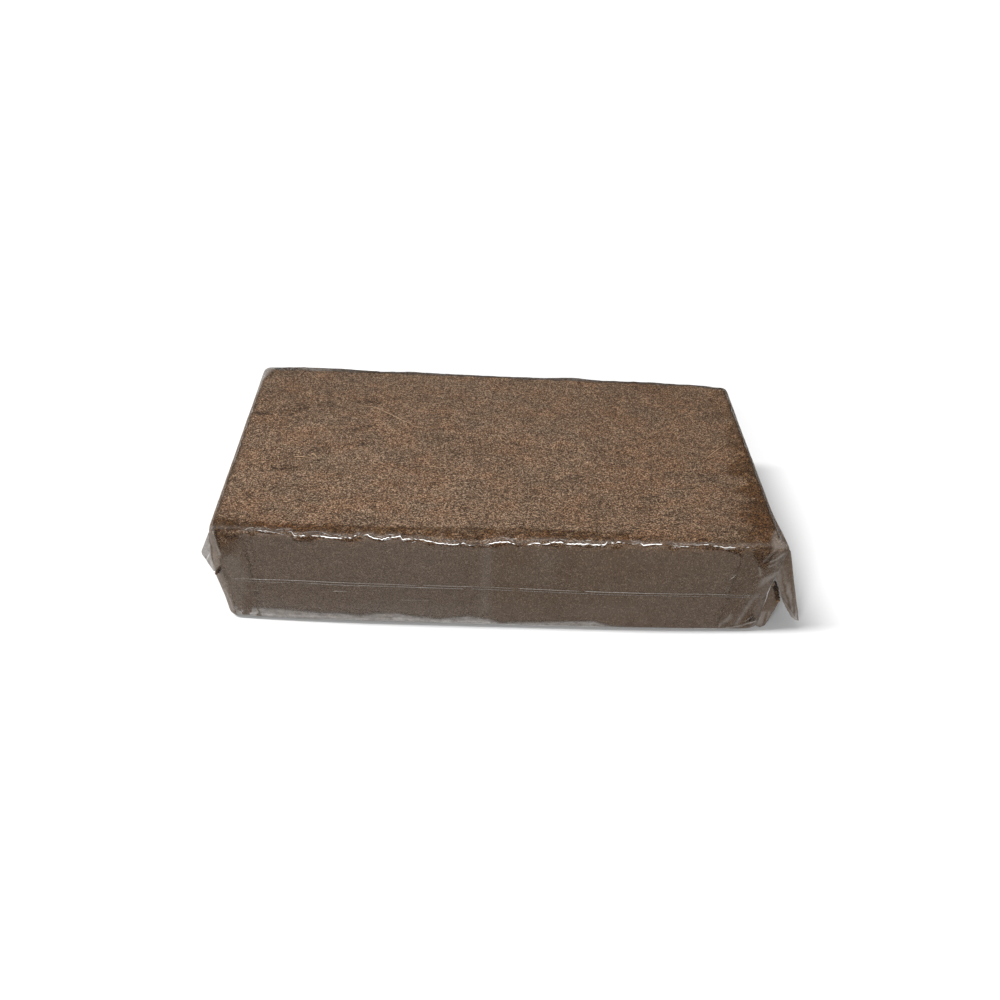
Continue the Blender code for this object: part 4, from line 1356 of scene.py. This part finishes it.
def film_material():
    nodes = Nodes("clear plastic film")
    smears = nodes.noise(60, detail=5)
    grain = nodes.cells(3100)
    light_specks = nodes.spread(grain, 0.82, 1.0)
    dark_specks = nodes.spread(nodes.cells(2600), 0.40, 0.0)
    colour = nodes.mix(nodes.attribute("dust"), GREY_FILM, DUSTY_FILM)
    colour = nodes.mix(nodes.math("MULTIPLY", light_specks, 0.4), colour, DUST_SPECK)
    colour = nodes.tinted(colour, nodes.math("MULTIPLY", dark_specks, 0.5), FILM_SHADE)
    # Paleness: whitish film and painted highlights.
    colour = nodes.mix(nodes.attribute("pale"), colour, PALE_FILM_AND_HIGHLIGHT)
    haze = nodes.math("MULTIPLY", nodes.attribute("haze"), nodes.total((smears, 0.3), plus=0.85))
    haze = nodes.math("MULTIPLY", haze, nodes.total((grain, 0.32), plus=0.86), clamp=True)
    nodes.set(nodes.shader.inputs["Alpha"], haze)
    nodes.surface(colour, nodes.spread(smears, -0.6, 2.4), 0.12)
    nodes.bump(nodes.noise(350, detail=3), 0.25, 0.0003)
    return nodes.material


# Stage

FLOOR_COLOUR = (0.56, 0.56, 0.56, 1)
FLOOR_REACH = 3.0
SKY_STRENGTH = 0.42
LIGHT_DISTANCE = 12.0
LEFT_LIGHT = (-0.52, -0.03, 0.86)
FRONT_LIGHT = (-0.46, -0.72, 0.52)
LEFT_SIZES = (1.3, 6.0)
FRONT_SIZES = (3.7, 3.7)
LEFT_STRENGTH = 5.1
FRONT_STRENGTH = 2.05


def floor():
    mesh = bpy.data.meshes.new("floor")
    sides = ((-1, -1), (1, -1), (1, 1), (-1, 1))
    mesh.from_pydata([(x * FLOOR_REACH, y * FLOOR_REACH, 0) for x, y in sides], [], [(0, 1, 2, 3)])
    nodes = Nodes("pale floor")
    nodes.surface(FLOOR_COLOUR, 0.9, 0.1)
    mesh.materials.append(nodes.material)
    made = placed("floor", mesh)


def camera():
    lens = bpy.data.cameras.new("camera")
    lens.sensor_width = SENSOR_MM
    lens.lens = FOCAL_PIXELS / FRAME_PIXELS * SENSOR_MM
    lens.clip_start = 0.01
    made = placed("camera", lens)
    turn = Matrix.Rotation(math.radians(CAMERA_YAW), 4, "Z")
    tilt = Matrix.Rotation(math.radians(90 + CAMERA_PITCH), 4, "X")
    roll = Matrix.Rotation(math.radians(CAMERA_ROLL), 4, "Z")
    made.matrix_world = Matrix.Translation(CAMERA_PLACE) @ turn @ tilt @ roll
    bpy.context.scene.camera = made


def soft_light(name, towards, sizes, strength):
    """A far softbox. strength is the light on a surface that faces it, in watts for each square metre."""
    place = Vector(towards).normalized() * LIGHT_DISTANCE
    light = bpy.data.lights.new(name, "AREA")
    light.shape = "ELLIPSE"
    light.size, light.size_y = sizes
    light.energy = strength * math.pi * LIGHT_DISTANCE**2
    made = placed(name, light)
    made.location = place
    made.rotation_mode = "QUATERNION"
    made.rotation_quaternion = (-place).to_track_quat("-Z", "Y")


def lights():
    world = bpy.data.worlds.new("studio")
    world.use_nodes = True
    world.node_tree.nodes["Background"].inputs["Color"].default_value = (1, 1, 1, 1)
    world.node_tree.nodes["Background"].inputs["Strength"].default_value = SKY_STRENGTH
    bpy.context.scene.world = world
    soft_light("left light", LEFT_LIGHT, LEFT_SIZES, LEFT_STRENGTH)
    soft_light("front light", FRONT_LIGHT, FRONT_SIZES, FRONT_STRENGTH)
    bpy.context.scene.view_settings.view_transform = "Standard"


def main():
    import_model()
    camera()
    lights()
    floor()
    pith, fibre = pith_material(), fibre_material()
    sides = [(face, FIBRES_ON_LONG_SIDES) for face in (FRONT, BACK)]
    sides += [(face, FIBRES_ON_ENDS) for face in (RIGHT, LEFT)]
    coir = [
        coir_brick(pith),
        coir_fibres("coir_fibres_top", 201, [(TOP, FIBRES_ON_TOP)], fibre, top_fibres()),
        coir_fibres("coir_fibres_sides", 202, sides, fibre),
        coir_fibres("coir_fibres_under", 203, [(UNDER, FIBRES_UNDER)], fibre),
        coir_grains(fibre),
    ]
    for piece in coir:
        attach(piece, "root")
        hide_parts("coir_block")
    plastic = film_material()
    for piece in (film_skin(plastic), film_folds(plastic)):
        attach(piece, "root")
        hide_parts("film_wrapper")


main()
